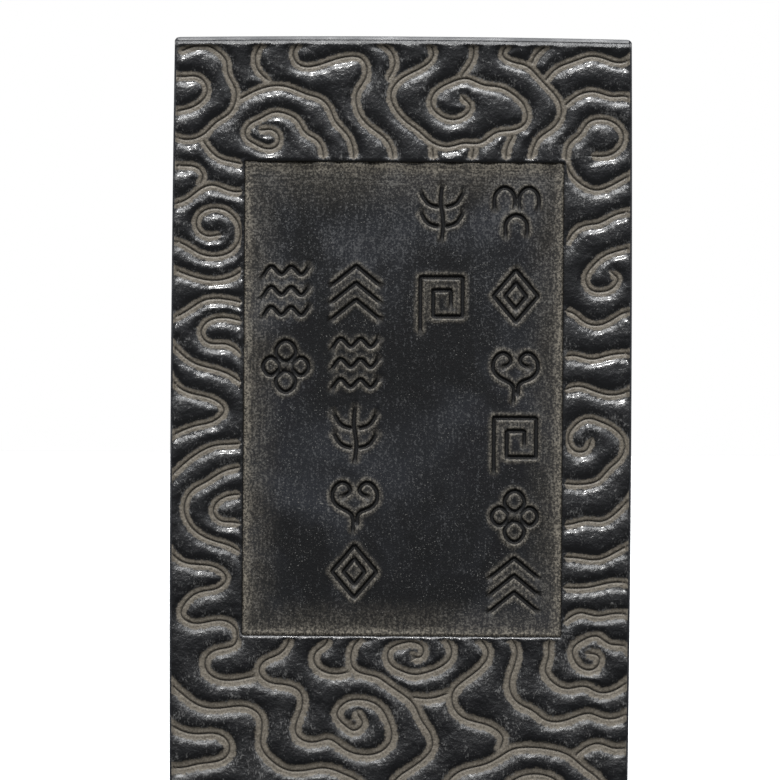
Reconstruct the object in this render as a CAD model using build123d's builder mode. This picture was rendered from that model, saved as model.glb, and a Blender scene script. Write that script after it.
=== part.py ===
from build123d import *
from math import ceil
import os

os.makedirs("parts", exist_ok=True)

# Ink stick standing on its grinding end.
# X is the width, Z the length, and the front face looks towards -Y.
# All sizes are in millimetres.
LENGTH = 124.3
WIDTH_MIDDLE = 70.6
WIDTH_ENDS = 70.0
TOP_BOW = 0.3
THICKNESS = 18.0
CORNER_RADIUS = 1.2
RIM_RADIUS = 0.9

COAT = 0.6
PLATE = 3.0
TABLET_SINK = 0.8
GROOVE_WIDTH = 1.5
GROOVE_DEPTH = 0.8
GROOVE_POWDER = 0.2
GROOVE_STEP = 1.2

WINDOW_LEFT = -24.1
WINDOW_RIGHT = 24.7
WINDOW_BOTTOM = 32.4
WINDOW_TOP = 105.0
WINDOW_CORNER = 0.5

MARK_STROKE = 0.6
MARK_DEPTH = 0.45
MARK_POWDER = 0.12
MARK_STEP = 0.4
MARK_HALF_WIDTH = 3.6
MARK_HALF_HEIGHT = 4.0
WASH_WIDTH = 2.6
WASH_DEPTH = 0.15

HALF_THICKNESS = THICKNESS / 2
PLATE_BACK = HALF_THICKNESS - PLATE
TABLET_FACE = HALF_THICKNESS - TABLET_SINK
INNER_HALF_WIDTH = WIDTH_ENDS / 2 - COAT
INNER_BOTTOM = COAT
INNER_TOP = LENGTH - TOP_BOW - COAT
INNER_HEIGHT = INNER_TOP - INNER_BOTTOM
INNER_MIDDLE = (INNER_TOP + INNER_BOTTOM) / 2

WINDOW_WIDTH = WINDOW_RIGHT - WINDOW_LEFT
WINDOW_HEIGHT = WINDOW_TOP - WINDOW_BOTTOM
WINDOW_X = (WINDOW_RIGHT + WINDOW_LEFT) / 2
WINDOW_Z = (WINDOW_TOP + WINDOW_BOTTOM) / 2

# Incised lines of the cloud border: the (x, z) points each spline passes through.
CLOUD_LINES = {
    "corner_hook": [
        (-33.8, 121.9), (-32, 122.6), (-30.2, 122.7), (-28.3, 121.7), (-27.1, 120.3),
        (-26.85, 118.4), (-25.75, 116.2), (-25.6, 114.4), (-26.7, 112.2), (-28.6, 110.9),
        (-30.1, 109.4), (-31.9, 108.4), (-33.6, 108.3), (-36, 109.3),
    ],
    "left_loop_top": [
        (-36, 118.2), (-33.6, 117.9), (-31.5, 117.9), (-30.2, 116.7), (-30.1, 115.3), (-31, 114),
        (-32.6, 113.1), (-36, 112.5),
    ],
    "branch_to_tablet": [
        (-30.4, 107.8), (-29.5, 106.6), (-28, 105.4), (-26.4, 104.95), (-23, 104.2),
    ],
    "arch": [
        (-24.8, 114.6), (-23.4, 115.4), (-21, 116.35), (-19.2, 116.6), (-16.9, 116.15),
        (-14.4, 115.2), (-12.6, 114.6), (-11.2, 113.1), (-10.4, 111.3), (-8.8, 109.5),
        (-7.8, 107.8), (-7.5, 104.5),
    ],
    "swirl_top_left": [
        (-12.2, 104.5), (-12.3, 106.9), (-13.3, 108.4), (-14.9, 109.4), (-16, 111.1), (-18, 112.35),
        (-19.9, 112.5), (-22, 111.45), (-23.7, 110.4), (-24.1, 108.9), (-22.6, 107.6),
        (-20.7, 106.9), (-19.2, 107.4), (-19, 108.9), (-20.1, 109.85), (-21.5, 109.75),
    ],
    "drop_a": [
        (-19.8, 125), (-21.6, 123.1), (-22.6, 121.2), (-22.4, 119.3), (-20.8, 117.5),
    ],
    "wave_a": [
        (-14.2, 125), (-16.2, 123), (-16.85, 121.2), (-15.9, 119.8), (-13.6, 119.65),
        (-10.8, 120.55), (-8.2, 121.15), (-6.5, 120.9), (-5.55, 119.1), (-5.9, 117.5), (-7, 115.7),
        (-7.1, 113.6), (-6.2, 111.6), (-4.2, 109.8), (-2.2, 108), (-1.55, 106.4), (-1.5, 104.5),
    ],
    "drop_b": [
        (-5.4, 124.9), (-3.5, 123.3), (-1.8, 121.8), (-1.3, 119.9), (-2.2, 117.9),
    ],
    "wave_b": [
        (2.4, 124.9), (4.1, 123.1), (4.6, 121.3), (3.2, 119.7), (0.9, 118.5), (-1.1, 117),
        (-1.85, 115.3), (-1.2, 113.2), (0.4, 111.3), (2.4, 109.8), (4.3, 108.2), (7, 107.4),
        (9.4, 107.95), (11.8, 108), (14.3, 109.6), (17.2, 110.1), (18.9, 111.3), (18.7, 113.6),
        (16.9, 115.5), (14.9, 116.55), (12.2, 116.95), (9.9, 117.85), (7.2, 117.2), (4.9, 115.7),
        (4.3, 114), (5.4, 112.4), (7.2, 111.6), (9.4, 112.1), (10.35, 113.4), (9, 115),
    ],
    "drop_c": [
        (9.2, 124.9), (10.7, 122.9), (10.6, 120.8), (9, 118.4),
    ],
    "stub_a": [
        (4.6, 107), (4.8, 104.5),
    ],
    "stub_b": [
        (10.9, 107), (10.5, 104.5),
    ],
    "wave_c": [
        (16.8, 125), (15.9, 123), (15.25, 121.5), (16.6, 120.5), (19, 119.8), (20.8, 118.1),
        (22.6, 116.2), (24.1, 114.1), (24.2, 112.2), (22.9, 110.3), (20.9, 108.8), (20, 107),
        (19.5, 104.5),
    ],
    "drop_d": [
        (23.4, 125), (21.6, 122.8), (20.3, 121.5), (19.75, 120.3),
    ],
    "stub_c": [
        (16.8, 108.9), (16.05, 107.3), (15.95, 104.5),
    ],
    "wave_right_a": [
        (22, 117.9), (23.4, 119.4), (26.4, 120.7), (28.6, 121.4), (31, 121), (33, 120.45),
        (34.4, 120.8), (36, 122.5),
    ],
    "wave_right_b": [
        (25.1, 114.1), (27, 115.5), (29.4, 115.95), (32.2, 115.25), (34.2, 115.3), (36, 114.2),
    ],
    "swirl_right_a": [
        (29.5, 106.1), (31.6, 106.25), (33.4, 107.6), (33.8, 109.4), (32.6, 111.1), (30.5, 111.8),
        (28.4, 111.2), (27.2, 109.5), (25.6, 108), (25.05, 106.2), (25.6, 103.7), (27.4, 101.8),
        (29.8, 100.9), (31.8, 101.5), (33.8, 102.6), (36, 103.8),
    ],
    "right_line_a": [
        (25.2, 92.7), (26.6, 94.7), (28.4, 95.55), (30, 95.8), (32.4, 97), (36, 97.7),
    ],
    "swirl_right_b": [
        (36, 92.4), (33.4, 91.7), (31, 90.8), (29.2, 89.2), (28.2, 87.4), (28.9, 85.7),
        (30.7, 85.35), (32.6, 86.2), (33.1, 87.4), (32.3, 88.1),
    ],
    "right_line_b": [
        (23.8, 82.4), (26.3, 82), (28, 80.7), (30, 80.2), (31.8, 80.8), (33.8, 82), (36, 82.6),
    ],
    "right_line_c": [
        (23.5, 74.7), (26.3, 75.55), (29.2, 75), (31.6, 75.55), (36, 75.9),
    ],
    "right_line_d": [
        (23.5, 69.4), (27.3, 70.8), (30.2, 69.9), (33.2, 69.6), (36, 70.8),
    ],
    "swirl_right_c": [
        (23.8, 56.1), (28.4, 55.85), (30.4, 56.5), (32, 58.2), (33.8, 60), (34.2, 62.5),
        (32.8, 64.3), (30.4, 65.5), (28.8, 65.9), (26.6, 64.7), (25.65, 62.7), (26.7, 60.9),
        (28.4, 61), (29.1, 62.5),
    ],
    "right_line_e": [
        (23.5, 49.5), (26.4, 49.75), (28.6, 50.25), (30.8, 50.15), (33, 51.4), (36, 54.8),
    ],
    "right_line_f": [
        (23.5, 44.6), (27.4, 44.5), (30.4, 44.3), (32.8, 45.3), (36, 47.1),
    ],
    "right_line_g": [
        (23.5, 40.1), (29.4, 40.1), (33, 40.85), (36, 40.5),
    ],
    "right_line_h": [
        (25.2, 34.7), (27.8, 36.1), (30, 35.65), (32.6, 36), (36, 35.8),
    ],
    "left_loop_a": [
        (-36, 104.4), (-33.2, 104.25), (-31.4, 103.9), (-30.6, 102.6), (-30.95, 101.6),
    ],
    "left_line_a": [
        (-36, 98.2), (-33.2, 99), (-31.2, 100.5), (-29.2, 101.3), (-27.2, 100.7), (-25.6, 100.3),
        (-23, 100.8),
    ],
    "swirl_left_a": [
        (-36, 92.9), (-33.4, 92.2), (-31.2, 90.9), (-28.4, 90.4), (-26, 91.3), (-24.85, 93.2),
        (-25.3, 95.8), (-27.2, 97.5), (-29.2, 97.75), (-31.2, 96.6), (-31.45, 94.8), (-29.9, 93.5),
        (-28.2, 93.7),
    ],
    "left_line_b": [
        (-36, 88.8), (-32.4, 87.4), (-28.8, 86.7), (-26, 87.3), (-23.4, 89.2),
    ],
    "left_line_c": [
        (-36, 80.4), (-32.6, 82.2), (-30.2, 83.65), (-27.2, 83.85), (-23, 82.9),
    ],
    "left_loop_b": [
        (-23, 79.9), (-27.4, 81), (-29.8, 80.3), (-30.7, 78.7), (-29.7, 77.2), (-27, 76.95),
        (-25, 75.9), (-23.4, 73.8),
    ],
    "left_line_d": [
        (-36, 77.9), (-34, 75.7), (-31.8, 74.05), (-28.6, 73.1), (-26.2, 72.2), (-23.2, 69.8),
    ],
    "left_bow": [
        (-36, 73), (-33.8, 70.1), (-31.2, 69.15), (-28.6, 68.4), (-27.1, 66.9), (-28.4, 65.3),
        (-31.4, 64.4), (-33.8, 63.5), (-36, 62.4),
    ],
    "left_line_e": [
        (-36, 55.8), (-33.6, 58.2), (-31, 60.25), (-28.4, 61.4), (-25.4, 61.65), (-23, 62.1),
    ],
    "left_hook": [
        (-23, 58.3), (-27.4, 57.3), (-29.8, 55.8), (-31.8, 54.6), (-33.1, 52), (-32.5, 49.6),
        (-30.6, 47.7), (-28.4, 46.75), (-25.8, 45.9), (-23, 43.8),
    ],
    "left_loop_c": [
        (-23, 53.9), (-26.2, 53.75), (-28, 52.8), (-28.65, 51.3), (-27.6, 49.9), (-25.4, 49.65),
        (-23, 48.5),
    ],
    "left_serpent": [
        (-36, 46.4), (-33.4, 43.6), (-30.4, 43.1), (-27.8, 42.5), (-26.6, 41), (-27.8, 39.6),
        (-30.6, 38.95), (-32.8, 37.3), (-33.45, 35.4), (-32, 34.25), (-29, 34.45), (-26.6, 34.5),
        (-24.95, 33), (-25.2, 31), (-27.8, 30.15), (-29.6, 28.8), (-29.6, 27.1), (-27.8, 25.65),
        (-25.2, 25.5), (-22.4, 26.05),
    ],
    "bottom_wave_a": [
        (-16.9, 33.5), (-17.15, 31), (-18.6, 29.4), (-20.8, 28.3), (-21.45, 26.8), (-20.3, 25.35),
        (-17.4, 24.8), (-15.2, 23.7), (-14.8, 21.8), (-15.6, 19.3), (-15.7, 17.2), (-14.2, 16.15),
        (-12.4, 16.15), (-10.8, 16.5), (-8.6, 15.2), (-5.4, 14.15), (-2.6, 14.75), (-1.15, 16.6),
        (-1.6, 19.3), (-3.2, 21.7), (-5.8, 22.6), (-8.4, 22), (-9.5, 20.3), (-8.2, 18.6),
        (-6.7, 17.9), (-5.6, 18.9), (-6.3, 20.2),
    ],
    "bottom_left_line": [
        (-36, 25.8), (-33, 23.1), (-30.4, 21.45), (-27, 21.2), (-23.2, 21.35), (-21.3, 20),
        (-21, 17.8), (-21.1, 15.5), (-19.4, 13.1), (-16.8, 11.7), (-14, 11.75), (-11, 12.05),
        (-8.2, 11.1), (-5.9, 9.9), (-4.9, 8.2), (-5.6, 6.2), (-6.8, 4.2), (-6.6, 1.8), (-5.8, -1),
    ],
    "bottom_left_loop": [
        (-36, 19.5), (-33.4, 17.7), (-30.4, 17.2), (-27.8, 17.2), (-26.1, 15.9), (-26.2, 14),
        (-28.3, 12.9), (-30.6, 12.6), (-33, 12.05), (-36, 12.2),
    ],
    "bottom_cup_a": [
        (-10.9, 33.5), (-11.4, 31), (-12.8, 29.8), (-13, 28.2), (-11.4, 26.8), (-9.2, 26.55),
        (-8.1, 26.75),
    ],
    "bottom_wave_b": [
        (-3.8, 33), (-6.6, 31.4), (-7.4, 29.4), (-7.1, 27.5), (-5.2, 26.5), (-3.6, 26.15),
        (-1.4, 24.75), (0.9, 23.2), (2.4, 21.7), (3.4, 19.6), (4.8, 17.5), (5.1, 15.4), (3.6, 13.4),
        (1.2, 11.7), (-0.7, 10), (-1.1, 8.2), (0.1, 6.3), (1.3, 4.4), (1.2, 2), (0.4, -1),
    ],
    "swirl_bottom_a": [
        (5.9, 33.2), (7.6, 31.3), (8, 29.6), (6.8, 28), (4.4, 26.9), (2.4, 26.5), (0.2, 27.1),
        (-1.6, 28.4), (-1.7, 30), (0.2, 31.25), (2.2, 31.45), (3.7, 30.4), (3.3, 29.25),
        (2.2, 29.2),
    ],
    "bottom_smile": [
        (2.5, 23), (4.4, 22.85), (6.2, 23.2), (7.3, 23.65),
    ],
    "bottom_wave_c": [
        (11, 33), (12.9, 31.4), (13.6, 29.6), (12.6, 27.8), (9.9, 25.6), (8.3, 23.9), (8.2, 22),
        (9.6, 20.1), (12.4, 19.15), (14.8, 18.2), (15.95, 16.8), (15.5, 15.3),
    ],
    "bottom_wave_d": [
        (15.6, 33.2), (17.7, 31.3), (18, 29.4), (17.3, 27), (16.95, 24.4), (18.2, 22.3), (20.6, 21),
        (22.2, 19.8), (24.4, 19.4), (27.2, 20.25), (29.2, 20.7), (31.2, 20.05), (33.4, 20.05),
        (36, 21.4),
    ],
    "bottom_wave_e": [
        (23.6, 33.5), (22.9, 31), (22.85, 29.2), (22.4, 27.4), (23.5, 25.5), (25.8, 24.5),
        (28.6, 24.8), (30.4, 24), (33, 24.3), (36, 26.6),
    ],
    "swirl_bottom_b": [
        (36, 29.4), (34.3, 31.1), (32.2, 31.4), (30.4, 32.5), (28.2, 32), (26.55, 30.4), (27, 28.6),
        (28.6, 27.4), (30.3, 27.9), (30.5, 29.5), (29.3, 29.9),
    ],
    "bottom_mound": [
        (11, -1), (11.6, 2), (10.6, 4.6), (8.2, 5.9), (6.8, 7.6), (7.5, 10), (9.6, 11.8),
        (13, 12.75), (15.2, 13.8), (17.4, 15.1), (20, 15.45), (23.6, 15.1), (26, 14.3),
        (28.4, 12.4), (30.6, 10.7), (31.7, 8.6), (30.9, 6.4), (29.4, 4.4), (29.2, 1.8), (30, -1),
    ],
    "bottom_right_line": [
        (27.4, 14.6), (28.8, 15.6), (30.6, 16.1), (32.8, 15.45), (36, 15.9),
    ],
    "swirl_bottom_c": [
        (17.6, -1), (17.2, 1.6), (15.8, 4), (15.4, 6.6), (16.4, 9.2), (18.6, 10.95), (21.4, 11.35),
        (24.2, 10.4), (25.6, 8.2), (24.8, 6), (22.6, 5.2), (20.7, 6.2), (20.6, 7.9), (22, 8.7),
    ],
    "swirl_bottom_d": [
        (-23.4, -1), (-23.3, 2.2), (-22, 5.2), (-19.4, 7.7), (-16, 8.8), (-13, 8.3), (-11.2, 6.6),
        (-11.4, 4.4), (-13.2, 3.2), (-15.3, 3.7), (-15.9, 5.3), (-14.6, 6.3),
    ],
    "bottom_left_swash": [
        (-36, 6.6), (-33.4, 6.7), (-30.6, 8.1), (-28.2, 8.8), (-26, 7.9), (-25.5, 6), (-27.2, 4.3),
        (-30, 3.2), (-32, 1.4), (-32.8, -1),
    ],
    "bottom_right_cup": [
        (36, 9.4), (34.5, 7.6), (34.2, 5.4), (36, 3.2),
    ],
}

# Ornament strokes in a cell two units wide and two units high. Curved ones are splines.
PETALS = [
    [(0.12, 0.2), (0.42, 0.55), (0.0, 0.98), (-0.42, 0.55), (-0.12, 0.2)],
    [(-0.12, -0.2), (-0.42, -0.55), (0.0, -0.98), (0.42, -0.55), (0.12, -0.2)],
    [(0.28, -0.1), (0.65, -0.34), (0.97, 0.0), (0.65, 0.34), (0.28, 0.1)],
    [(-0.28, 0.1), (-0.65, 0.34), (-0.97, 0.0), (-0.65, -0.34), (-0.28, -0.1)],
]
WAVES = [
    [(-0.95, 0.6), (-0.6, 0.92), (-0.2, 0.62), (0.2, 0.92), (0.6, 0.62), (0.95, 0.92)],
    [(-0.95, -0.18), (-0.6, 0.14), (-0.2, -0.16), (0.2, 0.14), (0.6, -0.16), (0.95, 0.14)],
    [(-0.95, -0.95), (-0.6, -0.63), (-0.2, -0.93), (0.2, -0.63), (0.6, -0.93), (0.95, -0.63)],
]
CURLS = [
    [
        (-0.08, -1.0), (-0.15, -0.4), (-0.5, -0.2), (-0.9, 0.1),
        (-0.85, 0.62), (-0.45, 0.8), (-0.2, 0.5), (-0.45, 0.3),
    ],
    [
        (0.12, -0.8), (0.2, -0.35), (0.55, -0.2), (0.92, 0.1),
        (0.85, 0.62), (0.45, 0.8), (0.2, 0.5), (0.45, 0.3),
    ],
]
SPRIG = [
    [(0.0, -1.0), (0.05, -0.3), (-0.05, 0.3), (0.0, 1.0)],
    [(0.2, 0.2), (0.55, 0.3), (0.9, 0.75)],
    [(-0.2, 0.2), (-0.55, 0.3), (-0.9, 0.75)],
    [(0.2, -0.55), (0.55, -0.45), (0.9, 0.0)],
    [(-0.2, -0.55), (-0.55, -0.45), (-0.9, 0.0)],
]
SCALES = [
    [(-0.93, 0.2), (-0.85, 0.75), (-0.5, 0.95), (-0.15, 0.75), (-0.07, 0.2)],
    [(0.13, 0.2), (0.2, 0.75), (0.54, 0.95), (0.87, 0.75), (0.95, 0.2)],
    [(-0.45, -0.85), (-0.38, -0.3), (0.0, -0.1), (0.38, -0.3), (0.45, -0.85)],
]
# Straight ones are lists of corners.
FRET = [
    [
        (-0.9, -1.0), (-0.9, 1.0), (0.9, 1.0), (0.9, -0.5),
        (-0.35, -0.5), (-0.35, 0.5), (0.4, 0.5), (0.4, 0.0),
    ],
]
LOZENGES = [
    [(0.0, 1.0), (0.95, 0.0), (0.0, -1.0), (-0.95, 0.0), (0.0, 1.0)],
    [(0.0, 0.5), (0.45, 0.0), (0.0, -0.5), (-0.45, 0.0), (0.0, 0.5)],
]
PEAKS = [
    [(-0.95, 0.3), (0.0, 1.0), (0.95, 0.3)],
    [(-0.95, -0.35), (0.0, 0.35), (0.95, -0.35)],
    [(-0.95, -1.0), (0.0, -0.3), (0.95, -1.0)],
]

# Every mark: its strokes and the centre of its cell.
CURVED_MARKS = [
    (SCALES, 17.5, 97.4),
    (CURLS, 17.5, 72.6),
    (PETALS, 17.5, 50.8),
    (SPRIG, 6.1, 97.4),
    (WAVES, -7.0, 74.2),
    (SPRIG, -7.0, 63.4),
    (CURLS, -7.0, 52.6),
    (WAVES, -17.7, 85.2),
    (PETALS, -17.7, 73.6),
]
STRAIGHT_MARKS = [
    (LOZENGES, 17.5, 84.6),
    (FRET, 17.5, 61.9),
    (PEAKS, 17.5, 40.4),
    (FRET, 6.1, 83.4),
    (PEAKS, -7.0, 85.1),
    (LOZENGES, -7.0, 42.2),
]

FRONT = Plane(origin=(0, -HALF_THICKNESS, 0), x_dir=(1, 0, 0), z_dir=(0, -1, 0))
FRONT_TABLET = Plane(origin=(0, -TABLET_FACE, 0), x_dir=(1, 0, 0), z_dir=(0, -1, 0))
BACK_TABLET = Plane(origin=(0, TABLET_FACE, 0), x_dir=(-1, 0, 0), z_dir=(0, 1, 0))


def stroke_outline(points, width, step):
    """Corners of a band of the given width that follows a spline through the points."""
    path = Edge.make_spline([Vector(*point) for point in points])
    count = ceil(path.length / step)
    near_side = []
    far_side = []
    for k in range(count + 1):
        centre = path.position_at(k / count)
        along = path.tangent_at(k / count)
        across = Vector(-along.Y, along.X) * (width / 2)
        near_side.append((centre.X + across.X, centre.Y + across.Y))
        far_side.append((centre.X - across.X, centre.Y - across.Y))
    return near_side + far_side[::-1]


def in_cell(stroke, x, z):
    """Moves a stroke from the unit cell to a mark's place on the tablet."""
    return [(x + MARK_HALF_WIDTH * u, z + MARK_HALF_HEIGHT * v) for u, v in stroke]


# The whole outside of the stick, with rounded corners and rims.
with BuildPart() as stick:
    with BuildSketch(FRONT) as outline:
        with BuildLine():
            Line((-WIDTH_ENDS / 2, 0), (WIDTH_ENDS / 2, 0))
            ThreePointArc(
                (WIDTH_ENDS / 2, 0),
                (WIDTH_MIDDLE / 2, LENGTH / 2),
                (WIDTH_ENDS / 2, LENGTH - TOP_BOW),
            )
            ThreePointArc(
                (WIDTH_ENDS / 2, LENGTH - TOP_BOW),
                (0, LENGTH),
                (-WIDTH_ENDS / 2, LENGTH - TOP_BOW),
            )
            ThreePointArc(
                (-WIDTH_ENDS / 2, LENGTH - TOP_BOW),
                (-WIDTH_MIDDLE / 2, LENGTH / 2),
                (-WIDTH_ENDS / 2, 0),
            )
        make_face()
        fillet(outline.vertices(), CORNER_RADIUS)
    extrude(amount=-THICKNESS)
    front_rim = stick.faces().sort_by(Axis.Y)[0].edges()
    back_rim = stick.faces().sort_by(Axis.Y)[-1].edges()
    fillet(front_rim + back_rim, RIM_RADIUS)

# Ink body behind both faces.
with BuildPart() as ink_core:
    with Locations((0, 0, INNER_MIDDLE)):
        Box(2 * INNER_HALF_WIDTH, 2 * PLATE_BACK, INNER_HEIGHT)
ink_core.part.label = "ink_core"
export_step(ink_core.part, "parts/ink_core.step")

# Front cloud border: the moulded frame round the tablet window.
with BuildPart() as front_cloud_border:
    with Locations((0, -HALF_THICKNESS + PLATE / 2, INNER_MIDDLE)):
        Box(2 * INNER_HALF_WIDTH, PLATE, INNER_HEIGHT)
    add(stick.part, mode=Mode.INTERSECT)
    with BuildSketch(FRONT):
        with Locations((WINDOW_X, WINDOW_Z)):
            RectangleRounded(WINDOW_WIDTH, WINDOW_HEIGHT, WINDOW_CORNER)
    extrude(amount=-PLATE, mode=Mode.SUBTRACT)
    for points in CLOUD_LINES.values():
        with BuildSketch(FRONT):
            with BuildLine():
                Polyline(*stroke_outline(points, GROOVE_WIDTH, GROOVE_STEP), close=True)
            make_face()
        extrude(amount=GROOVE_DEPTH, both=True, mode=Mode.SUBTRACT)
front_cloud_border.part.label = "front_cloud_border"
export_step(front_cloud_border.part, "parts/front_cloud_border.step")

# Back cloud border: the front one turned about the upright axis.
with BuildPart() as back_cloud_border:
    add(front_cloud_border.part, rotation=(0, 0, 180))
back_cloud_border.part.label = "back_cloud_border"
export_step(back_cloud_border.part, "parts/back_cloud_border.step")

# Powder lying on the floors of the border's grooves.
with BuildPart() as front_groove_powder:
    with Locations((0, -HALF_THICKNESS + GROOVE_DEPTH - GROOVE_POWDER / 2, INNER_MIDDLE)):
        Box(2 * INNER_HALF_WIDTH, GROOVE_POWDER, INNER_HEIGHT)
    add(stick.part, mode=Mode.INTERSECT)
    with BuildSketch(FRONT):
        with Locations((WINDOW_X, WINDOW_Z)):
            RectangleRounded(WINDOW_WIDTH, WINDOW_HEIGHT, WINDOW_CORNER)
    extrude(amount=-PLATE, mode=Mode.SUBTRACT)
    add(front_cloud_border.part, mode=Mode.SUBTRACT)
front_groove_powder.part.label = "front_groove_powder"
export_step(front_groove_powder.part, "parts/front_groove_powder.step")

with BuildPart() as back_groove_powder:
    add(front_groove_powder.part, rotation=(0, 0, 180))
back_groove_powder.part.label = "back_groove_powder"
export_step(back_groove_powder.part, "parts/back_groove_powder.step")

# Front tablet: the sunken field, with the marks cut into it.
with BuildPart() as front_tablet:
    with BuildSketch(FRONT_TABLET):
        with Locations((WINDOW_X, WINDOW_Z)):
            RectangleRounded(WINDOW_WIDTH, WINDOW_HEIGHT, WINDOW_CORNER)
    extrude(amount=-(TABLET_FACE - PLATE_BACK))
    with BuildSketch(FRONT_TABLET):
        with Locations((WINDOW_X, WINDOW_Z)):
            RectangleRounded(WINDOW_WIDTH, WINDOW_HEIGHT, WINDOW_CORNER)
            Rectangle(
                WINDOW_WIDTH - 2 * WASH_WIDTH,
                WINDOW_HEIGHT - 2 * WASH_WIDTH,
                mode=Mode.SUBTRACT,
            )
    extrude(amount=-WASH_DEPTH, mode=Mode.SUBTRACT)
    for strokes, x, z in CURVED_MARKS:
        for stroke in strokes:
            band = stroke_outline(in_cell(stroke, x, z), MARK_STROKE, MARK_STEP)
            with BuildSketch(FRONT_TABLET):
                with BuildLine():
                    Polyline(*band, close=True)
                make_face()
            extrude(amount=MARK_DEPTH, both=True, mode=Mode.SUBTRACT)
    for strokes, x, z in STRAIGHT_MARKS:
        with BuildSketch(FRONT_TABLET):
            for stroke in strokes:
                corners = in_cell(stroke, x, z)
                for start, end in zip(corners, corners[1:]):
                    with BuildLine():
                        Line(start, end)
                    trace(line_width=MARK_STROKE)
                    with Locations(start, end):
                        Circle(MARK_STROKE / 2)
        extrude(amount=MARK_DEPTH, both=True, mode=Mode.SUBTRACT)
front_tablet.part.label = "front_tablet"
export_step(front_tablet.part, "parts/front_tablet.step")

# Back tablet: the same field, left plain.
with BuildPart() as back_tablet:
    with BuildSketch(BACK_TABLET):
        with Locations((WINDOW_X, WINDOW_Z)):
            RectangleRounded(WINDOW_WIDTH, WINDOW_HEIGHT, WINDOW_CORNER)
    extrude(amount=-(TABLET_FACE - PLATE_BACK))
    with BuildSketch(BACK_TABLET):
        with Locations((WINDOW_X, WINDOW_Z)):
            RectangleRounded(WINDOW_WIDTH, WINDOW_HEIGHT, WINDOW_CORNER)
            Rectangle(
                WINDOW_WIDTH - 2 * WASH_WIDTH,
                WINDOW_HEIGHT - 2 * WASH_WIDTH,
                mode=Mode.SUBTRACT,
            )
    extrude(amount=-WASH_DEPTH, mode=Mode.SUBTRACT)
back_tablet.part.label = "back_tablet"
export_step(back_tablet.part, "parts/back_tablet.step")

# Powder packed along the foot of the front tablet's walls.
with BuildPart() as front_tablet_powder:
    with BuildSketch(FRONT_TABLET):
        with Locations((WINDOW_X, WINDOW_Z)):
            RectangleRounded(WINDOW_WIDTH, WINDOW_HEIGHT, WINDOW_CORNER)
            Rectangle(
                WINDOW_WIDTH - 2 * WASH_WIDTH,
                WINDOW_HEIGHT - 2 * WASH_WIDTH,
                mode=Mode.SUBTRACT,
            )
    extrude(amount=-WASH_DEPTH)
front_tablet_powder.part.label = "front_tablet_powder"
export_step(front_tablet_powder.part, "parts/front_tablet_powder.step")

# Powder along the foot of the back tablet's walls.
with BuildPart() as back_tablet_powder:
    with BuildSketch(BACK_TABLET):
        with Locations((WINDOW_X, WINDOW_Z)):
            RectangleRounded(WINDOW_WIDTH, WINDOW_HEIGHT, WINDOW_CORNER)
            Rectangle(
                WINDOW_WIDTH - 2 * WASH_WIDTH,
                WINDOW_HEIGHT - 2 * WASH_WIDTH,
                mode=Mode.SUBTRACT,
            )
    extrude(amount=-WASH_DEPTH)
back_tablet_powder.part.label = "back_tablet_powder"
export_step(back_tablet_powder.part, "parts/back_tablet_powder.step")

# Powder left on the floor of each mark.
with BuildPart() as front_mark_powder:
    with Locations((WINDOW_X, -TABLET_FACE + MARK_DEPTH - MARK_POWDER / 2, WINDOW_Z)):
        Box(WINDOW_WIDTH - 2 * WASH_WIDTH, MARK_POWDER, WINDOW_HEIGHT - 2 * WASH_WIDTH)
    add(front_tablet.part, mode=Mode.SUBTRACT)
front_mark_powder.part.label = "front_mark_powder"
export_step(front_mark_powder.part, "parts/front_mark_powder.step")

# Lacquered edges: the left and right coats run the full height.
with BuildPart() as left_edge_lacquer:
    add(stick.part)
    with Locations((-INNER_HALF_WIDTH, 0, LENGTH / 2)):
        Box(
            WIDTH_MIDDLE,
            2 * THICKNESS,
            2 * LENGTH,
            align=(Align.MAX, Align.CENTER, Align.CENTER),
            mode=Mode.INTERSECT,
        )
left_edge_lacquer.part.label = "left_edge_lacquer"
export_step(left_edge_lacquer.part, "parts/left_edge_lacquer.step")

with BuildPart() as right_edge_lacquer:
    add(stick.part)
    with Locations((INNER_HALF_WIDTH, 0, LENGTH / 2)):
        Box(
            WIDTH_MIDDLE,
            2 * THICKNESS,
            2 * LENGTH,
            align=(Align.MIN, Align.CENTER, Align.CENTER),
            mode=Mode.INTERSECT,
        )
right_edge_lacquer.part.label = "right_edge_lacquer"
export_step(right_edge_lacquer.part, "parts/right_edge_lacquer.step")

# The top coat sits between them.
with BuildPart() as top_edge_lacquer:
    add(stick.part)
    with Locations((0, 0, INNER_TOP)):
        Box(
            2 * INNER_HALF_WIDTH,
            2 * THICKNESS,
            LENGTH,
            align=(Align.CENTER, Align.CENTER, Align.MIN),
            mode=Mode.INTERSECT,
        )
top_edge_lacquer.part.label = "top_edge_lacquer"
export_step(top_edge_lacquer.part, "parts/top_edge_lacquer.step")

# So does the coat on the grinding end, which the stick stands on.
with BuildPart() as grinding_end_lacquer:
    add(stick.part)
    with Locations((0, 0, INNER_BOTTOM)):
        Box(
            2 * INNER_HALF_WIDTH,
            2 * THICKNESS,
            LENGTH,
            align=(Align.CENTER, Align.CENTER, Align.MAX),
            mode=Mode.INTERSECT,
        )
grinding_end_lacquer.part.label = "grinding_end_lacquer"
export_step(grinding_end_lacquer.part, "parts/grinding_end_lacquer.step")
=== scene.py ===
import math

import bpy
import bmesh
import numpy as np
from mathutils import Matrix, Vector, noise
from mathutils.geometry import delaunay_2d_cdt
from mathutils.kdtree import KDTree


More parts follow.
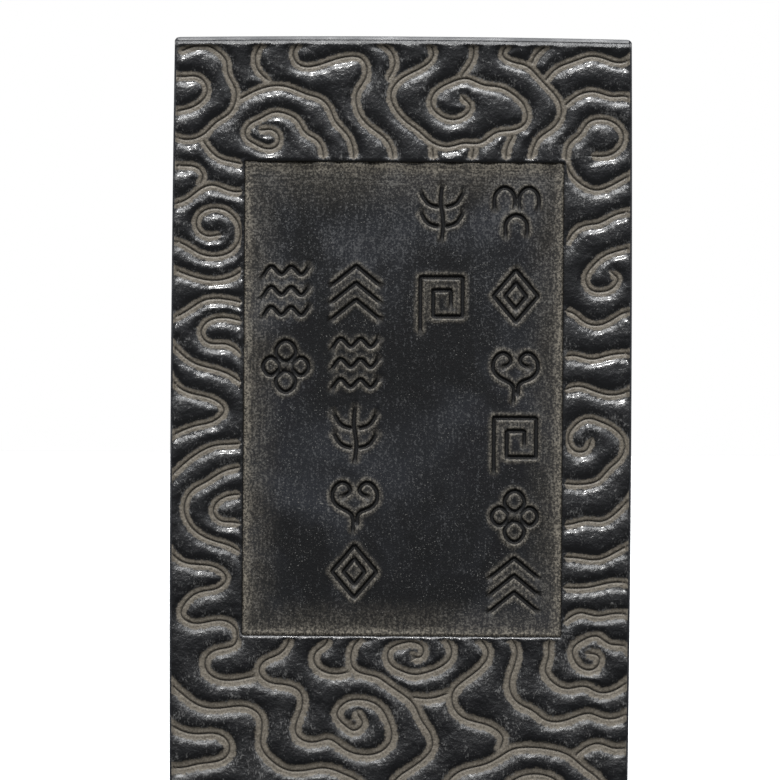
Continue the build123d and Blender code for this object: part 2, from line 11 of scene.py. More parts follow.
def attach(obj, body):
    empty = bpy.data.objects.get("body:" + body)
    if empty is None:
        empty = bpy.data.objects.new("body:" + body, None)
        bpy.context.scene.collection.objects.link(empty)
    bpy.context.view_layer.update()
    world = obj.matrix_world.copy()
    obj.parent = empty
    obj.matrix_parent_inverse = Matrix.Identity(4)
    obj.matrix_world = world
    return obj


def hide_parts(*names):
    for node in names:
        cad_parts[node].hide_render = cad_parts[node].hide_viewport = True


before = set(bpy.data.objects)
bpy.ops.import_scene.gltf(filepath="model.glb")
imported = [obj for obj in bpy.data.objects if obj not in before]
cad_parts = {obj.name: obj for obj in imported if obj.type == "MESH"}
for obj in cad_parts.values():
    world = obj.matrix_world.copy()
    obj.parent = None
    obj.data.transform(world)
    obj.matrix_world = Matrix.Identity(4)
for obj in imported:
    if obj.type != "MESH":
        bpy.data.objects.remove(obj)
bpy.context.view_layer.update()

MM = 0.001

# ---- sizes of the stick, in millimetres ----
LENGTH = 124.3
HALF_MIDDLE = 35.3
HALF_ENDS = 35.0
TOP_BOW = 0.3
HALF_THICKNESS = 9.0
CORNER_RADIUS = 0.7
TOP_RIM = 0.9
SIDE_RIM = 0.3
COAT = 0.6
SIDE_LIP = 0.3
CORE_HALF_WIDTH = HALF_ENDS - COAT
CORE_TOP = LENGTH - TOP_BOW - COAT
WINDOW_LEFT = -24.1
WINDOW_RIGHT = 24.7
WINDOW_BOTTOM = 32.4
WINDOW_TOP = 105.0
TABLET_SINK = 0.8
PLATE_BACK = 6.0
MARK_HALF_WIDTH = 3.6
MARK_HALF_HEIGHT = 4.0

# ---- relief ----
SAMPLE = 0.06
VALLEY_DEPTH = 0.38
RIDGE_FOOT = 0.9
RIDGE_SLOPE = 0.66
POWDER_REACH = 0.71
POWDER_EXTRA_AT_FOOT = 0.22
PUFF = 0.2
LINE_DEPTH = 0.27
LINE_HALF_WIDTH = 0.12
MARK_DEPTH = 0.42
MARK_HALF_STROKE = 0.42

# Incised lines of the cloud border, as the (x, z) points each spline passes through.
CLOUD_LINES = {
    "corner_hook": [
        (-33.8, 121.9), (-32, 122.6), (-30.2, 122.7), (-28.3, 121.7), (-27.1, 120.3),
        (-26.85, 118.4), (-25.75, 116.2), (-25.6, 114.4), (-26.7, 112.2), (-28.6, 110.9),
        (-30.1, 109.4), (-31.9, 108.4), (-33.6, 108.3), (-36, 109.3),
    ],
    "left_loop_top": [
        (-36, 118.2), (-33.6, 117.9), (-31.5, 117.9), (-30.2, 116.7), (-30.1, 115.3), (-31, 114),
        (-32.6, 113.1), (-36, 112.5),
    ],
    "branch_to_tablet": [
        (-30.4, 107.8), (-29.5, 106.6), (-28, 105.4), (-26.4, 104.95), (-23, 104.2),
    ],
    "arch": [
        (-24.8, 114.6), (-23.4, 115.4), (-21, 116.35), (-19.2, 116.6), (-16.9, 116.15),
        (-14.4, 115.2), (-12.6, 114.6), (-11.2, 113.1), (-10.4, 111.3), (-8.8, 109.5),
        (-7.8, 107.8), (-7.5, 104.5),
    ],
    "swirl_top_left": [
        (-12.2, 104.5), (-12.3, 106.9), (-13.3, 108.4), (-14.9, 109.4), (-16, 111.1), (-18, 112.35),
        (-19.9, 112.5), (-22, 111.45), (-23.7, 110.4), (-24.1, 108.9), (-22.6, 107.6),
        (-20.7, 106.9), (-19.2, 107.4), (-19, 108.9), (-20.1, 109.85), (-21.5, 109.75),
    ],
    "drop_a": [
        (-19.8, 125), (-21.6, 123.1), (-22.6, 121.2), (-22.4, 119.3), (-20.8, 117.5),
    ],
    "wave_a": [
        (-14.2, 125), (-16.2, 123), (-16.85, 121.2), (-15.9, 119.8), (-13.6, 119.65),
        (-10.8, 120.55), (-8.2, 121.15), (-6.5, 120.9), (-5.55, 119.1), (-5.9, 117.5), (-7, 115.7),
        (-7.1, 113.6), (-6.2, 111.6), (-4.2, 109.8), (-2.2, 108), (-1.55, 106.4), (-1.5, 104.5),
    ],
    "drop_b": [
        (-5.4, 124.9), (-3.5, 123.3), (-1.8, 121.8), (-1.3, 119.9), (-2.2, 117.9),
    ],
    "wave_b": [
        (2.4, 124.9), (4.1, 123.1), (4.6, 121.3), (3.2, 119.7), (0.9, 118.5), (-1.1, 117),
        (-1.85, 115.3), (-1.2, 113.2), (0.4, 111.3), (2.4, 109.8), (4.3, 108.2), (7, 107.4),
        (9.4, 107.95), (11.8, 108), (14.3, 109.6), (17.2, 110.1), (18.9, 111.3), (18.7, 113.6),
        (16.9, 115.5), (14.9, 116.55), (12.2, 116.95), (9.9, 117.85), (7.2, 117.2), (4.9, 115.7),
        (4.3, 114), (5.4, 112.4), (7.2, 111.6), (9.4, 112.1), (10.35, 113.4), (9, 115),
    ],
    "drop_c": [
        (9.2, 124.9), (10.7, 122.9), (10.6, 120.8), (9, 118.4),
    ],
    "stub_a": [
        (4.6, 107), (4.8, 104.5),
    ],
    "stub_b": [
        (10.9, 107), (10.5, 104.5),
    ],
    "wave_c": [
        (16.8, 125), (15.9, 123), (15.25, 121.5), (16.6, 120.5), (19, 119.8), (20.8, 118.1),
        (22.6, 116.2), (24.1, 114.1), (24.2, 112.2), (22.9, 110.3), (20.9, 108.8), (20, 107),
        (19.5, 104.5),
    ],
    "drop_d": [
        (23.4, 125), (21.6, 122.8), (20.3, 121.5), (19.75, 120.3),
    ],
    "stub_c": [
        (16.8, 108.9), (16.05, 107.3), (15.95, 104.5),
    ],
    "wave_right_a": [
        (22, 117.9), (23.4, 119.4), (26.4, 120.7), (28.6, 121.4), (31, 121), (33, 120.45),
        (34.4, 120.8), (36, 122.5),
    ],
    "wave_right_b": [
        (25.1, 114.1), (27, 115.5), (29.4, 115.95), (32.2, 115.25), (34.2, 115.3), (36, 114.2),
    ],
    "swirl_right_a": [
        (29.5, 106.1), (31.6, 106.25), (33.4, 107.6), (33.8, 109.4), (32.6, 111.1), (30.5, 111.8),
        (28.4, 111.2), (27.2, 109.5), (25.6, 108), (25.05, 106.2), (25.6, 103.7), (27.4, 101.8),
        (29.8, 100.9), (31.8, 101.5), (33.8, 102.6), (36, 103.8),
    ],
    "right_line_a": [
        (25.2, 92.7), (26.6, 94.7), (28.4, 95.55), (30, 95.8), (32.4, 97), (36, 97.7),
    ],
    "swirl_right_b": [
        (36, 92.4), (33.4, 91.7), (31, 90.8), (29.2, 89.2), (28.2, 87.4), (28.9, 85.7),
        (30.7, 85.35), (32.6, 86.2), (33.1, 87.4), (32.3, 88.1),
    ],
    "right_line_b": [
        (23.8, 82.4), (26.3, 82), (28, 80.7), (30, 80.2), (31.8, 80.8), (33.8, 82), (36, 82.6),
    ],
    "right_line_c": [
        (23.5, 74.7), (26.3, 75.55), (29.2, 75), (31.6, 75.55), (36, 75.9),
    ],
    "right_line_d": [
        (23.5, 69.4), (27.3, 70.8), (30.2, 69.9), (33.2, 69.6), (36, 70.8),
    ],
    "swirl_right_c": [
        (23.8, 56.1), (28.4, 55.85), (30.4, 56.5), (32, 58.2), (33.8, 60), (34.2, 62.5),
        (32.8, 64.3), (30.4, 65.5), (28.8, 65.9), (26.6, 64.7), (25.65, 62.7), (26.7, 60.9),
        (28.4, 61), (29.1, 62.5),
    ],
    "right_line_e": [
        (23.5, 49.5), (26.4, 49.75), (28.6, 50.25), (30.8, 50.15), (33, 51.4), (36, 54.8),
    ],
    "right_line_f": [
        (23.5, 44.6), (27.4, 44.5), (30.4, 44.3), (32.8, 45.3), (36, 47.1),
    ],
    "right_line_g": [
        (23.5, 40.1), (29.4, 40.1), (33, 40.85), (36, 40.5),
    ],
    "right_line_h": [
        (25.2, 34.7), (27.8, 36.1), (30, 35.65), (32.6, 36), (36, 35.8),
    ],
    "left_loop_a": [
        (-36, 104.4), (-33.2, 104.25), (-31.4, 103.9), (-30.6, 102.6), (-30.95, 101.6),
    ],
    "left_line_a": [
        (-36, 98.2), (-33.2, 99), (-31.2, 100.5), (-29.2, 101.3), (-27.2, 100.7), (-25.6, 100.3),
        (-23, 100.8),
    ],
    "swirl_left_a": [
        (-36, 92.9), (-33.4, 92.2), (-31.2, 90.9), (-28.4, 90.4), (-26, 91.3), (-24.85, 93.2),
        (-25.3, 95.8), (-27.2, 97.5), (-29.2, 97.75), (-31.2, 96.6), (-31.45, 94.8), (-29.9, 93.5),
        (-28.2, 93.7),
    ],
    "left_line_b": [
        (-36, 88.8), (-32.4, 87.4), (-28.8, 86.7), (-26, 87.3), (-23.4, 89.2),
    ],
    "left_line_c": [
        (-36, 80.4), (-32.6, 82.2), (-30.2, 83.65), (-27.2, 83.85), (-23, 82.9),
    ],
    "left_loop_b": [
        (-23, 79.9), (-27.4, 81), (-29.8, 80.3), (-30.7, 78.7), (-29.7, 77.2), (-27, 76.95),
        (-25, 75.9), (-23.4, 73.8),
    ],
    "left_line_d": [
        (-36, 77.9), (-34, 75.7), (-31.8, 74.05), (-28.6, 73.1), (-26.2, 72.2), (-23.2, 69.8),
    ],
    "left_bow": [
        (-36, 73), (-33.8, 70.1), (-31.2, 69.15), (-28.6, 68.4), (-27.1, 66.9), (-28.4, 65.3),
        (-31.4, 64.4), (-33.8, 63.5), (-36, 62.4),
    ],
    "left_line_e": [
        (-36, 55.8), (-33.6, 58.2), (-31, 60.25), (-28.4, 61.4), (-25.4, 61.65), (-23, 62.1),
    ],
    "left_hook": [
        (-23, 58.3), (-27.4, 57.3), (-29.8, 55.8), (-31.8, 54.6), (-33.1, 52), (-32.5, 49.6),
        (-30.6, 47.7), (-28.4, 46.75), (-25.8, 45.9), (-23, 43.8),
    ],
    "left_loop_c": [
        (-23, 53.9), (-26.2, 53.75), (-28, 52.8), (-28.65, 51.3), (-27.6, 49.9), (-25.4, 49.65),
        (-23, 48.5),
    ],
    "left_serpent": [
        (-36, 46.4), (-33.4, 43.6), (-30.4, 43.1), (-27.8, 42.5), (-26.6, 41), (-27.8, 39.6),
        (-30.6, 38.95), (-32.8, 37.3), (-33.45, 35.4), (-32, 34.25), (-29, 34.45), (-26.6, 34.5),
        (-24.95, 33), (-25.2, 31), (-27.8, 30.15), (-29.6, 28.8), (-29.6, 27.1), (-27.8, 25.65),
        (-25.2, 25.5), (-22.4, 26.05),
    ],
    "bottom_wave_a": [
        (-16.9, 33.5), (-17.15, 31), (-18.6, 29.4), (-20.8, 28.3), (-21.45, 26.8), (-20.3, 25.35),
        (-17.4, 24.8), (-15.2, 23.7), (-14.8, 21.8), (-15.6, 19.3), (-15.7, 17.2), (-14.2, 16.15),
        (-12.4, 16.15), (-10.8, 16.5), (-8.6, 15.2), (-5.4, 14.15), (-2.6, 14.75), (-1.15, 16.6),
        (-1.6, 19.3), (-3.2, 21.7), (-5.8, 22.6), (-8.4, 22), (-9.5, 20.3), (-8.2, 18.6),
        (-6.7, 17.9), (-5.6, 18.9), (-6.3, 20.2),
    ],
    "bottom_left_line": [
        (-36, 25.8), (-33, 23.1), (-30.4, 21.45), (-27, 21.2), (-23.2, 21.35), (-21.3, 20),
        (-21, 17.8), (-21.1, 15.5), (-19.4, 13.1), (-16.8, 11.7), (-14, 11.75), (-11, 12.05),
        (-8.2, 11.1), (-5.9, 9.9), (-4.9, 8.2), (-5.6, 6.2), (-6.8, 4.2), (-6.6, 1.8), (-5.8, -1),
    ],
    "bottom_left_loop": [
        (-36, 19.5), (-33.4, 17.7), (-30.4, 17.2), (-27.8, 17.2), (-26.1, 15.9), (-26.2, 14),
        (-28.3, 12.9), (-30.6, 12.6), (-33, 12.05), (-36, 12.2),
    ],
    "bottom_cup_a": [
        (-10.9, 33.5), (-11.4, 31), (-12.8, 29.8), (-13, 28.2), (-11.4, 26.8), (-9.2, 26.55),
        (-8.1, 26.75),
    ],
    "bottom_wave_b": [
        (-3.8, 33), (-6.6, 31.4), (-7.4, 29.4), (-7.1, 27.5), (-5.2, 26.5), (-3.6, 26.15),
        (-1.4, 24.75), (0.9, 23.2), (2.4, 21.7), (3.4, 19.6), (4.8, 17.5), (5.1, 15.4), (3.6, 13.4),
        (1.2, 11.7), (-0.7, 10), (-1.1, 8.2), (0.1, 6.3), (1.3, 4.4), (1.2, 2), (0.4, -1),
    ],
    "swirl_bottom_a": [
        (5.9, 33.2), (7.6, 31.3), (8, 29.6), (6.8, 28), (4.4, 26.9), (2.4, 26.5), (0.2, 27.1),
        (-1.6, 28.4), (-1.7, 30), (0.2, 31.25), (2.2, 31.45), (3.7, 30.4), (3.3, 29.25),
        (2.2, 29.2),
    ],
    "bottom_smile": [
        (2.5, 23), (4.4, 22.85), (6.2, 23.2), (7.3, 23.65),
    ],
    "bottom_wave_c": [
        (11, 33), (12.9, 31.4), (13.6, 29.6), (12.6, 27.8), (9.9, 25.6), (8.3, 23.9), (8.2, 22),
        (9.6, 20.1), (12.4, 19.15), (14.8, 18.2), (15.95, 16.8), (15.5, 15.3),
    ],
    "bottom_wave_d": [
        (15.6, 33.2), (17.7, 31.3), (18, 29.4), (17.3, 27), (16.95, 24.4), (18.2, 22.3), (20.6, 21),
        (22.2, 19.8), (24.4, 19.4), (27.2, 20.25), (29.2, 20.7), (31.2, 20.05), (33.4, 20.05),
        (36, 21.4),
    ],
    "bottom_wave_e": [
        (23.6, 33.5), (22.9, 31), (22.85, 29.2), (22.4, 27.4), (23.5, 25.5), (25.8, 24.5),
        (28.6, 24.8), (30.4, 24), (33, 24.3), (36, 26.6),
    ],
    "swirl_bottom_b": [
        (36, 29.4), (34.3, 31.1), (32.2, 31.4), (30.4, 32.5), (28.2, 32), (26.55, 30.4), (27, 28.6),
        (28.6, 27.4), (30.3, 27.9), (30.5, 29.5), (29.3, 29.9),
    ],
    "bottom_mound": [
        (11, -1), (11.6, 2), (10.6, 4.6), (8.2, 5.9), (6.8, 7.6), (7.5, 10), (9.6, 11.8),
        (13, 12.75), (15.2, 13.8), (17.4, 15.1), (20, 15.45), (23.6, 15.1), (26, 14.3),
        (28.4, 12.4), (30.6, 10.7), (31.7, 8.6), (30.9, 6.4), (29.4, 4.4), (29.2, 1.8), (30, -1),
    ],
    "bottom_right_line": [
        (27.4, 14.6), (28.8, 15.6), (30.6, 16.1), (32.8, 15.45), (36, 15.9),
    ],
    "swirl_bottom_c": [
        (17.6, -1), (17.2, 1.6), (15.8, 4), (15.4, 6.6), (16.4, 9.2), (18.6, 10.95), (21.4, 11.35),
        (24.2, 10.4), (25.6, 8.2), (24.8, 6), (22.6, 5.2), (20.7, 6.2), (20.6, 7.9), (22, 8.7),
    ],
    "swirl_bottom_d": [
        (-23.4, -1), (-23.3, 2.2), (-22, 5.2), (-19.4, 7.7), (-16, 8.8), (-13, 8.3), (-11.2, 6.6),
        (-11.4, 4.4), (-13.2, 3.2), (-15.3, 3.7), (-15.9, 5.3), (-14.6, 6.3),
    ],
    "bottom_left_swash": [
        (-36, 6.6), (-33.4, 6.7), (-30.6, 8.1), (-28.2, 8.8), (-26, 7.9), (-25.5, 6), (-27.2, 4.3),
        (-30, 3.2), (-32, 1.4), (-32.8, -1),
    ],
    "bottom_right_cup": [
        (36, 9.4), (34.5, 7.6), (34.2, 5.4), (36, 3.2),
    ],
}

# Ornament strokes in a cell two units wide and two units high. Curved ones are splines.
PETALS = [
    [(0.12, 0.2), (0.42, 0.55), (0.0, 0.98), (-0.42, 0.55), (-0.12, 0.2)],
    [(-0.12, -0.2), (-0.42, -0.55), (0.0, -0.98), (0.42, -0.55), (0.12, -0.2)],
    [(0.28, -0.1), (0.65, -0.34), (0.97, 0.0), (0.65, 0.34), (0.28, 0.1)],
    [(-0.28, 0.1), (-0.65, 0.34), (-0.97, 0.0), (-0.65, -0.34), (-0.28, -0.1)],
]
WAVES = [
    [(-0.95, 0.6), (-0.6, 0.92), (-0.2, 0.62), (0.2, 0.92), (0.6, 0.62), (0.95, 0.92)],
    [(-0.95, -0.18), (-0.6, 0.14), (-0.2, -0.16), (0.2, 0.14), (0.6, -0.16), (0.95, 0.14)],
    [(-0.95, -0.95), (-0.6, -0.63), (-0.2, -0.93), (0.2, -0.63), (0.6, -0.93), (0.95, -0.63)],
]
CURLS = [
    [
        (-0.08, -1.0), (-0.15, -0.4), (-0.5, -0.2), (-0.9, 0.1),
        (-0.85, 0.62), (-0.45, 0.8), (-0.2, 0.5), (-0.45, 0.3),
    ],
    [
        (0.12, -0.8), (0.2, -0.35), (0.55, -0.2), (0.92, 0.1),
        (0.85, 0.62), (0.45, 0.8), (0.2, 0.5), (0.45, 0.3),
    ],
]
SPRIG = [
    [(0.0, -1.0), (0.05, -0.3), (-0.05, 0.3), (0.0, 1.0)],
    [(0.2, 0.2), (0.55, 0.3), (0.9, 0.75)],
    [(-0.2, 0.2), (-0.55, 0.3), (-0.9, 0.75)],
    [(0.2, -0.55), (0.55, -0.45), (0.9, 0.0)],
    [(-0.2, -0.55), (-0.55, -0.45), (-0.9, 0.0)],
]
SCALES = [
    [(-0.93, 0.2), (-0.85, 0.75), (-0.5, 0.95), (-0.15, 0.75), (-0.07, 0.2)],
    [(0.13, 0.2), (0.2, 0.75), (0.54, 0.95), (0.87, 0.75), (0.95, 0.2)],
    [(-0.45, -0.85), (-0.38, -0.3), (0.0, -0.1), (0.38, -0.3), (0.45, -0.85)],
]
# Straight ones are lists of corners.
FRET = [
    [
        (-0.9, -1.0), (-0.9, 1.0), (0.9, 1.0), (0.9, -0.5),
        (-0.35, -0.5), (-0.35, 0.5), (0.4, 0.5), (0.4, 0.0),
    ],
]
LOZENGES = [
    [(0.0, 1.0), (0.95, 0.0), (0.0, -1.0), (-0.95, 0.0), (0.0, 1.0)],
    [(0.0, 0.5), (0.45, 0.0), (0.0, -0.5), (-0.45, 0.0), (0.0, 0.5)],
]
PEAKS = [
    [(-0.95, 0.3), (0.0, 1.0), (0.95, 0.3)],
    [(-0.95, -0.35), (0.0, 0.35), (0.95, -0.35)],
    [(-0.95, -1.0), (0.0, -0.3), (0.95, -1.0)],
]

# Every mark: its strokes and the centre of its cell.
CURVED_MARKS = [
    (SCALES, 17.5, 97.4),
    (CURLS, 17.5, 72.6),
    (PETALS, 17.5, 50.8),
    (SPRIG, 6.1, 97.4),
    (WAVES, -7.0, 74.2),
    (SPRIG, -7.0, 63.4),
    (CURLS, -7.0, 52.6),
    (WAVES, -17.7, 85.2),
    (PETALS, -17.7, 73.6),
]
STRAIGHT_MARKS = [
    (LOZENGES, 17.5, 84.6),
    (FRET, 17.5, 61.9),
    (PEAKS, 17.5, 40.4),
    (FRET, 6.1, 83.4),
    (PEAKS, -7.0, 85.1),
    (LOZENGES, -7.0, 42.2),
]


# ---- curves and fields ----
def smooth(low, high, value):
    """Rises smoothly from 0 at low to 1 at high."""
    t = np.clip((value - low) / (high - low), 0.0, 1.0)
    return t * t * (3.0 - 2.0 * t)


def spline(points, step):
    """Points every step millimetres along a natural cubic spline through the given points."""
    p = np.array(points, float)
    u = np.concatenate([[0.0], np.cumsum(np.hypot(*np.diff(p, axis=0).T))])
    n = len(p)
    gaps = np.diff(u)
    matrix = np.eye(n)
    right = np.zeros((n, 2))
    for k in range(1, n - 1):
        matrix[k, k - 1] = gaps[k - 1]
        matrix[k, k] = 2.0 * (gaps[k - 1] + gaps[k])
        matrix[k, k + 1] = gaps[k]
        slopes = (p[k + 1] - p[k]) / gaps[k] - (p[k] - p[k - 1]) / gaps[k - 1]
        right[k] = 6.0 * slopes
    bend = np.linalg.solve(matrix, right)
    t = np.linspace(0.0, u[-1], max(3, int(math.ceil(u[-1] / step)) + 1))
    k = np.clip(np.searchsorted(u, t, side="right") - 1, 0, n - 2)
    g = gaps[k][:, None]
    a = ((u[k + 1] - t) / gaps[k])[:, None]
    b = ((t - u[k]) / gaps[k])[:, None]
    curve = a * p[k] + b * p[k + 1]
    return curve + ((a**3 - a) * bend[k] + (b**3 - b) * bend[k + 1]) * g * g / 6.0


def corners(points, step):
    """Points every step millimetres along straight strokes."""
    out = []
    for start, end in zip(points, points[1:]):
        start = np.array(start, float)
        end = np.array(end, float)
        count = max(1, int(math.ceil(np.hypot(*(end - start)) / step)))
        for k in range(count):
            out.append(start + (end - start) * k / count)
    out.append(np.array(points[-1], float))
    return np.array(out)


def tree_of(curves):
    """A search tree over finely sampled curves."""
    points = np.concatenate(curves)
    tree = KDTree(len(points))
    for k, (x, z) in enumerate(points):
        tree.insert((x, z, 0.0), k)
    tree.balance()
    return tree


def distances(tree, points):
    return np.array([tree.find((x, z, 0.0))[2] for x, z in points])


def blurred(field, radius):
    """A field smoothed with a bell of the given radius in cells."""
    reach = int(3 * radius)
    bell = np.exp(-0.5 * (np.arange(-reach, reach + 1) / radius) ** 2)
    bell /= bell.sum()
    padded = np.pad(field, reach, mode="edge")
    rows = np.apply_along_axis(lambda line: np.convolve(line, bell, "valid"), 0, padded)
    return np.apply_along_axis(lambda line: np.convolve(line, bell, "valid"), 1, rows)


class Field:
    """Values on a regular grid over the face, read back by linear interpolation."""

    def __init__(self, x0, z0, step, values):
        self.x0, self.z0, self.step, self.values = x0, z0, step, values

    def at(self, x, z):
        nx, nz = self.values.shape
        u = np.clip((x - self.x0) / self.step, 0, nx - 1.001)
        v = np.clip((z - self.z0) / self.step, 0, nz - 1.001)
        i = u.astype(int)
        j = v.astype(int)
        fu = u - i
        fv = v - j
        grid = self.values
        low = grid[i, j] * (1 - fu) + grid[i + 1, j] * fu
        high = grid[i, j + 1] * (1 - fu) + grid[i + 1, j + 1] * fu
        return low * (1 - fv) + high * fv


def window_distance(x, z):
    """How far a point of the border lies outside the tablet window."""
    dx = np.maximum(np.maximum(WINDOW_LEFT - x, x - WINDOW_RIGHT), 0.0)
    dz = np.maximum(np.maximum(WINDOW_BOTTOM - z, z - WINDOW_TOP), 0.0)
    return np.hypot(dx, dz)


def rumple(x, z, size, seed):
    """Soft unevenness between -1 and 1, as a hand-pressed surface has."""
    return np.array([noise.noise(Vector((a / size, b / size, seed))) for a, b in zip(x, z)])


cloud_curves = [spline(points, SAMPLE) for points in CLOUD_LINES.values()]
cloud_tree = tree_of(cloud_curves)
GRID = 0.2
GRID_LEFT = -36.0
GRID_FOOT = -1.0
grid_x = np.arange(GRID_LEFT, 36.01, GRID)
grid_z = np.arange(GRID_FOOT, 125.01, GRID)
mesh_x, mesh_z = np.meshgrid(grid_x, grid_z, indexing="ij")
grid_d = distances(cloud_tree, np.column_stack([mesh_x.ravel(), mesh_z.ravel()]))
grid_d = grid_d.reshape(mesh_x.shape)


def cloud_base(d):
    """Height of the rounded ridges over a valley, by distance from its line."""
    climb = np.clip((d - RIDGE_FOOT) / RIDGE_SLOPE, 0.0, 1.0)
    valley = -VALLEY_DEPTH * (1.0 - np.sin(0.5 * math.pi * climb))
    return valley - PUFF * (1.0 - smooth(0.9, 3.8, d))


flat_x, flat_z = mesh_x.ravel(), mesh_z.ravel()
ragged = 0.3 * rumple(flat_x, flat_z, 1.6, 4.0) + 0.2 * rumple(flat_x, flat_z, 0.7, 8.0)
ragged = ragged.reshape(mesh_x.shape)
lumps = 0.07 * rumple(flat_x, flat_z, 1.3, 12.0) + 0.08 * rumple(flat_x, flat_z, 3.2, 16.0)
lumps = lumps.reshape(mesh_x.shape) * smooth(0.9, 1.8, grid_d)
shaped = cloud_base(grid_d + ragged * smooth(0.5, 1.1, grid_d)) + lumps
cloud_field = Field(GRID_LEFT, GRID_FOOT, GRID, blurred(shaped, 0.8))


def side_line(z):
    """Half the stick's width at a height."""
    return HALF_ENDS + (HALF_MIDDLE - HALF_ENDS) * (1.0 - (2.0 * z / LENGTH - 1.0) ** 2)


def top_line(x):
    """Height of the top edge at a place across the width."""
    return LENGTH - TOP_BOW * (x / HALF_ENDS) ** 2


def end_gap(x, z):
    """How far a point lies below the top edge or above the grinding end."""
    return np.minimum(top_line(x) - z, z)


def side_gap(x, z):
    """How far a point lies inside the nearer long side."""
    return side_line(z) - np.abs(x)


def face_loop(inset):
    """Points round the front face at a distance inside the seams of its lacquered edges."""
    loop = []
    across = 170
    along = 300
    places = [(2.0 * k / across - 1.0, 0.0) for k in range(across)]
    places += [(1.0, k / along) for k in range(along)]
    places += [(1.0 - 2.0 * k / across, 1.0) for k in range(across)]
    places += [(-1.0, 1.0 - k / along) for k in range(along)]
    for u, v in places:
        z = COAT + inset + v * (LENGTH - TOP_BOW - 2.0 * (COAT + inset))
        x = u * (side_line(z) - SIDE_LIP - inset)
        rise = TOP_BOW * (1.0 - (x / HALF_ENDS) ** 2) * (v == 1.0)
        loop.append((x, z + rise))
    return loop


def cloud_height(x, z, d):
    """Height of the border's surface above the plain face, at most 0."""
    beside = 1.0 - smooth(0.2, 0.8, window_distance(x, z))
    rim = 1.0 - smooth(1.15, 1.6, end_gap(x, z))
    flank = 1.0 - smooth(0.3, 0.8, side_gap(x, z))
    base = cloud_field.at(x, z)
    base = base * (1.0 - beside) + np.maximum(base, -0.28) * beside
    base = base * (1.0 - flank) + np.maximum(base, -0.22) * flank
    base = base * (1.0 - rim) - 0.12 * rim
    open_share = (1.0 - beside) * (1.0 - rim) * (1.0 - flank)
    line = LINE_DEPTH * np.exp(-((d / LINE_HALF_WIDTH) ** 2)) * open_share
    lip = 0.35 * (1.0 - smooth(0.0, 0.45, window_distance(x, z))) ** 2
    shoulder = 0.62 * np.maximum(0.0, 1.25 - end_gap(x, z))
    return base - line - lip - shoulder


# ---- meshes ----
def edge_points(x0, z0, x1, z1, step):
    """Points round a rectangle, with no repeat."""
    out = []
    rim = [(x0, z0), (x1, z0), (x1, z1), (x0, z1), (x0, z0)]
    for (ax, az), (bx, bz) in zip(rim, rim[1:]):
        count = int(math.ceil(math.hypot(bx - ax, bz - az) / step))
        for k in range(count):
            out.append((ax + (bx - ax) * k / count, az + (bz - az) * k / count))
    return out


def along_curves(curves, tree, step, offsets, inside):
    """Rows of points beside each curve, so that its slopes are meshed finely."""
    rows = []
    for curve in curves:
        pick = curve[:: max(1, int(step / SAMPLE))]
        along = np.gradient(pick, axis=0)
        along /= np.maximum(np.hypot(along[:, 0], along[:, 1]), 1e-9)[:, None]
        across = np.column_stack([-along[:, 1], along[:, 0]])
        for offset in offsets:
            for side in (1, -1) if offset else (1,):
                row = pick + across * offset * side
                row = row[inside(row[:, 0], row[:, 1])]
                if not len(row):
                    continue
                keep = distances(tree, row) >= 0.82 * offset - 0.001
                rows.append(row[keep])
    return np.concatenate(rows)


def thinned(points, gap):
    """Leaves one point in each small cell, so no two lie on top of each other."""
    cells = np.round(points / gap).astype(int)
    _, first = np.unique(cells, axis=0, return_index=True)
    return points[np.sort(first)]


def triangulate(points, loops):
    """Triangles over the points, with the loops kept as edges."""
    verts = []
    edges = []
    for loop in loops:
        start = len(verts)
        verts.extend(loop)
        edges.extend((start + k, start + (k + 1) % len(loop)) for k in range(len(loop)))
    verts.extend((float(x), float(z)) for x, z in points)
    out = delaunay_2d_cdt([Vector(v) for v in verts], edges, [], 0, 1e-5, False)
    return np.array([(v.x, v.y) for v in out[0]]), [tuple(f) for f in out[2]]


def plate_object(name, flat, faces, height, face_y, back_y, attributes):
    """A closed plate whose front follows the heights, facing -Y."""
    mesh = bpy.data.meshes.new(name)
    count = len(flat)
    coordinates = np.column_stack([flat[:, 0], -(face_y + height), flat[:, 1]]) * MM
    mesh.from_pydata(coordinates.tolist(), [], faces)
    mesh.update()
    for label, values in attributes.items():
        layer = mesh.attributes.new(label, "FLOAT", "POINT")
        layer.data.foreach_set("value", np.asarray(values, np.float32))
    work = bmesh.new()
    work.from_mesh(mesh)
    bmesh.ops.recalc_face_normals(work, faces=work.faces)
    if sum(f.normal.y for f in work.faces) > 0:
        bmesh.ops.reverse_faces(work, faces=work.faces)
    rim = [e for e in work.edges if e.is_boundary]
    wall = bmesh.ops.extrude_edge_only(work, edges=rim)["geom"]
    low = [v for v in wall if isinstance(v, bmesh.types.BMVert)]
    low_edges = [e for e in wall if isinstance(e, bmesh.types.BMEdge)]
    for v in low:
        v.co.y = -back_y * MM
    bmesh.ops.triangle_fill(work, use_beauty=False, use_dissolve=False, edges=low_edges)
    bmesh.ops.recalc_face_normals(work, faces=work.faces)
    front = -(face_y - 3.0) * MM
    for f in work.faces:
        f.smooth = abs(f.normal.y) > 0.2 and f.calc_center_median().y < front
    work.to_mesh(mesh)
    work.free()
    return link(name, mesh)


def link(name, mesh):
    obj = bpy.data.objects.new(name, mesh)
    bpy.context.scene.collection.objects.link(obj)
    return obj


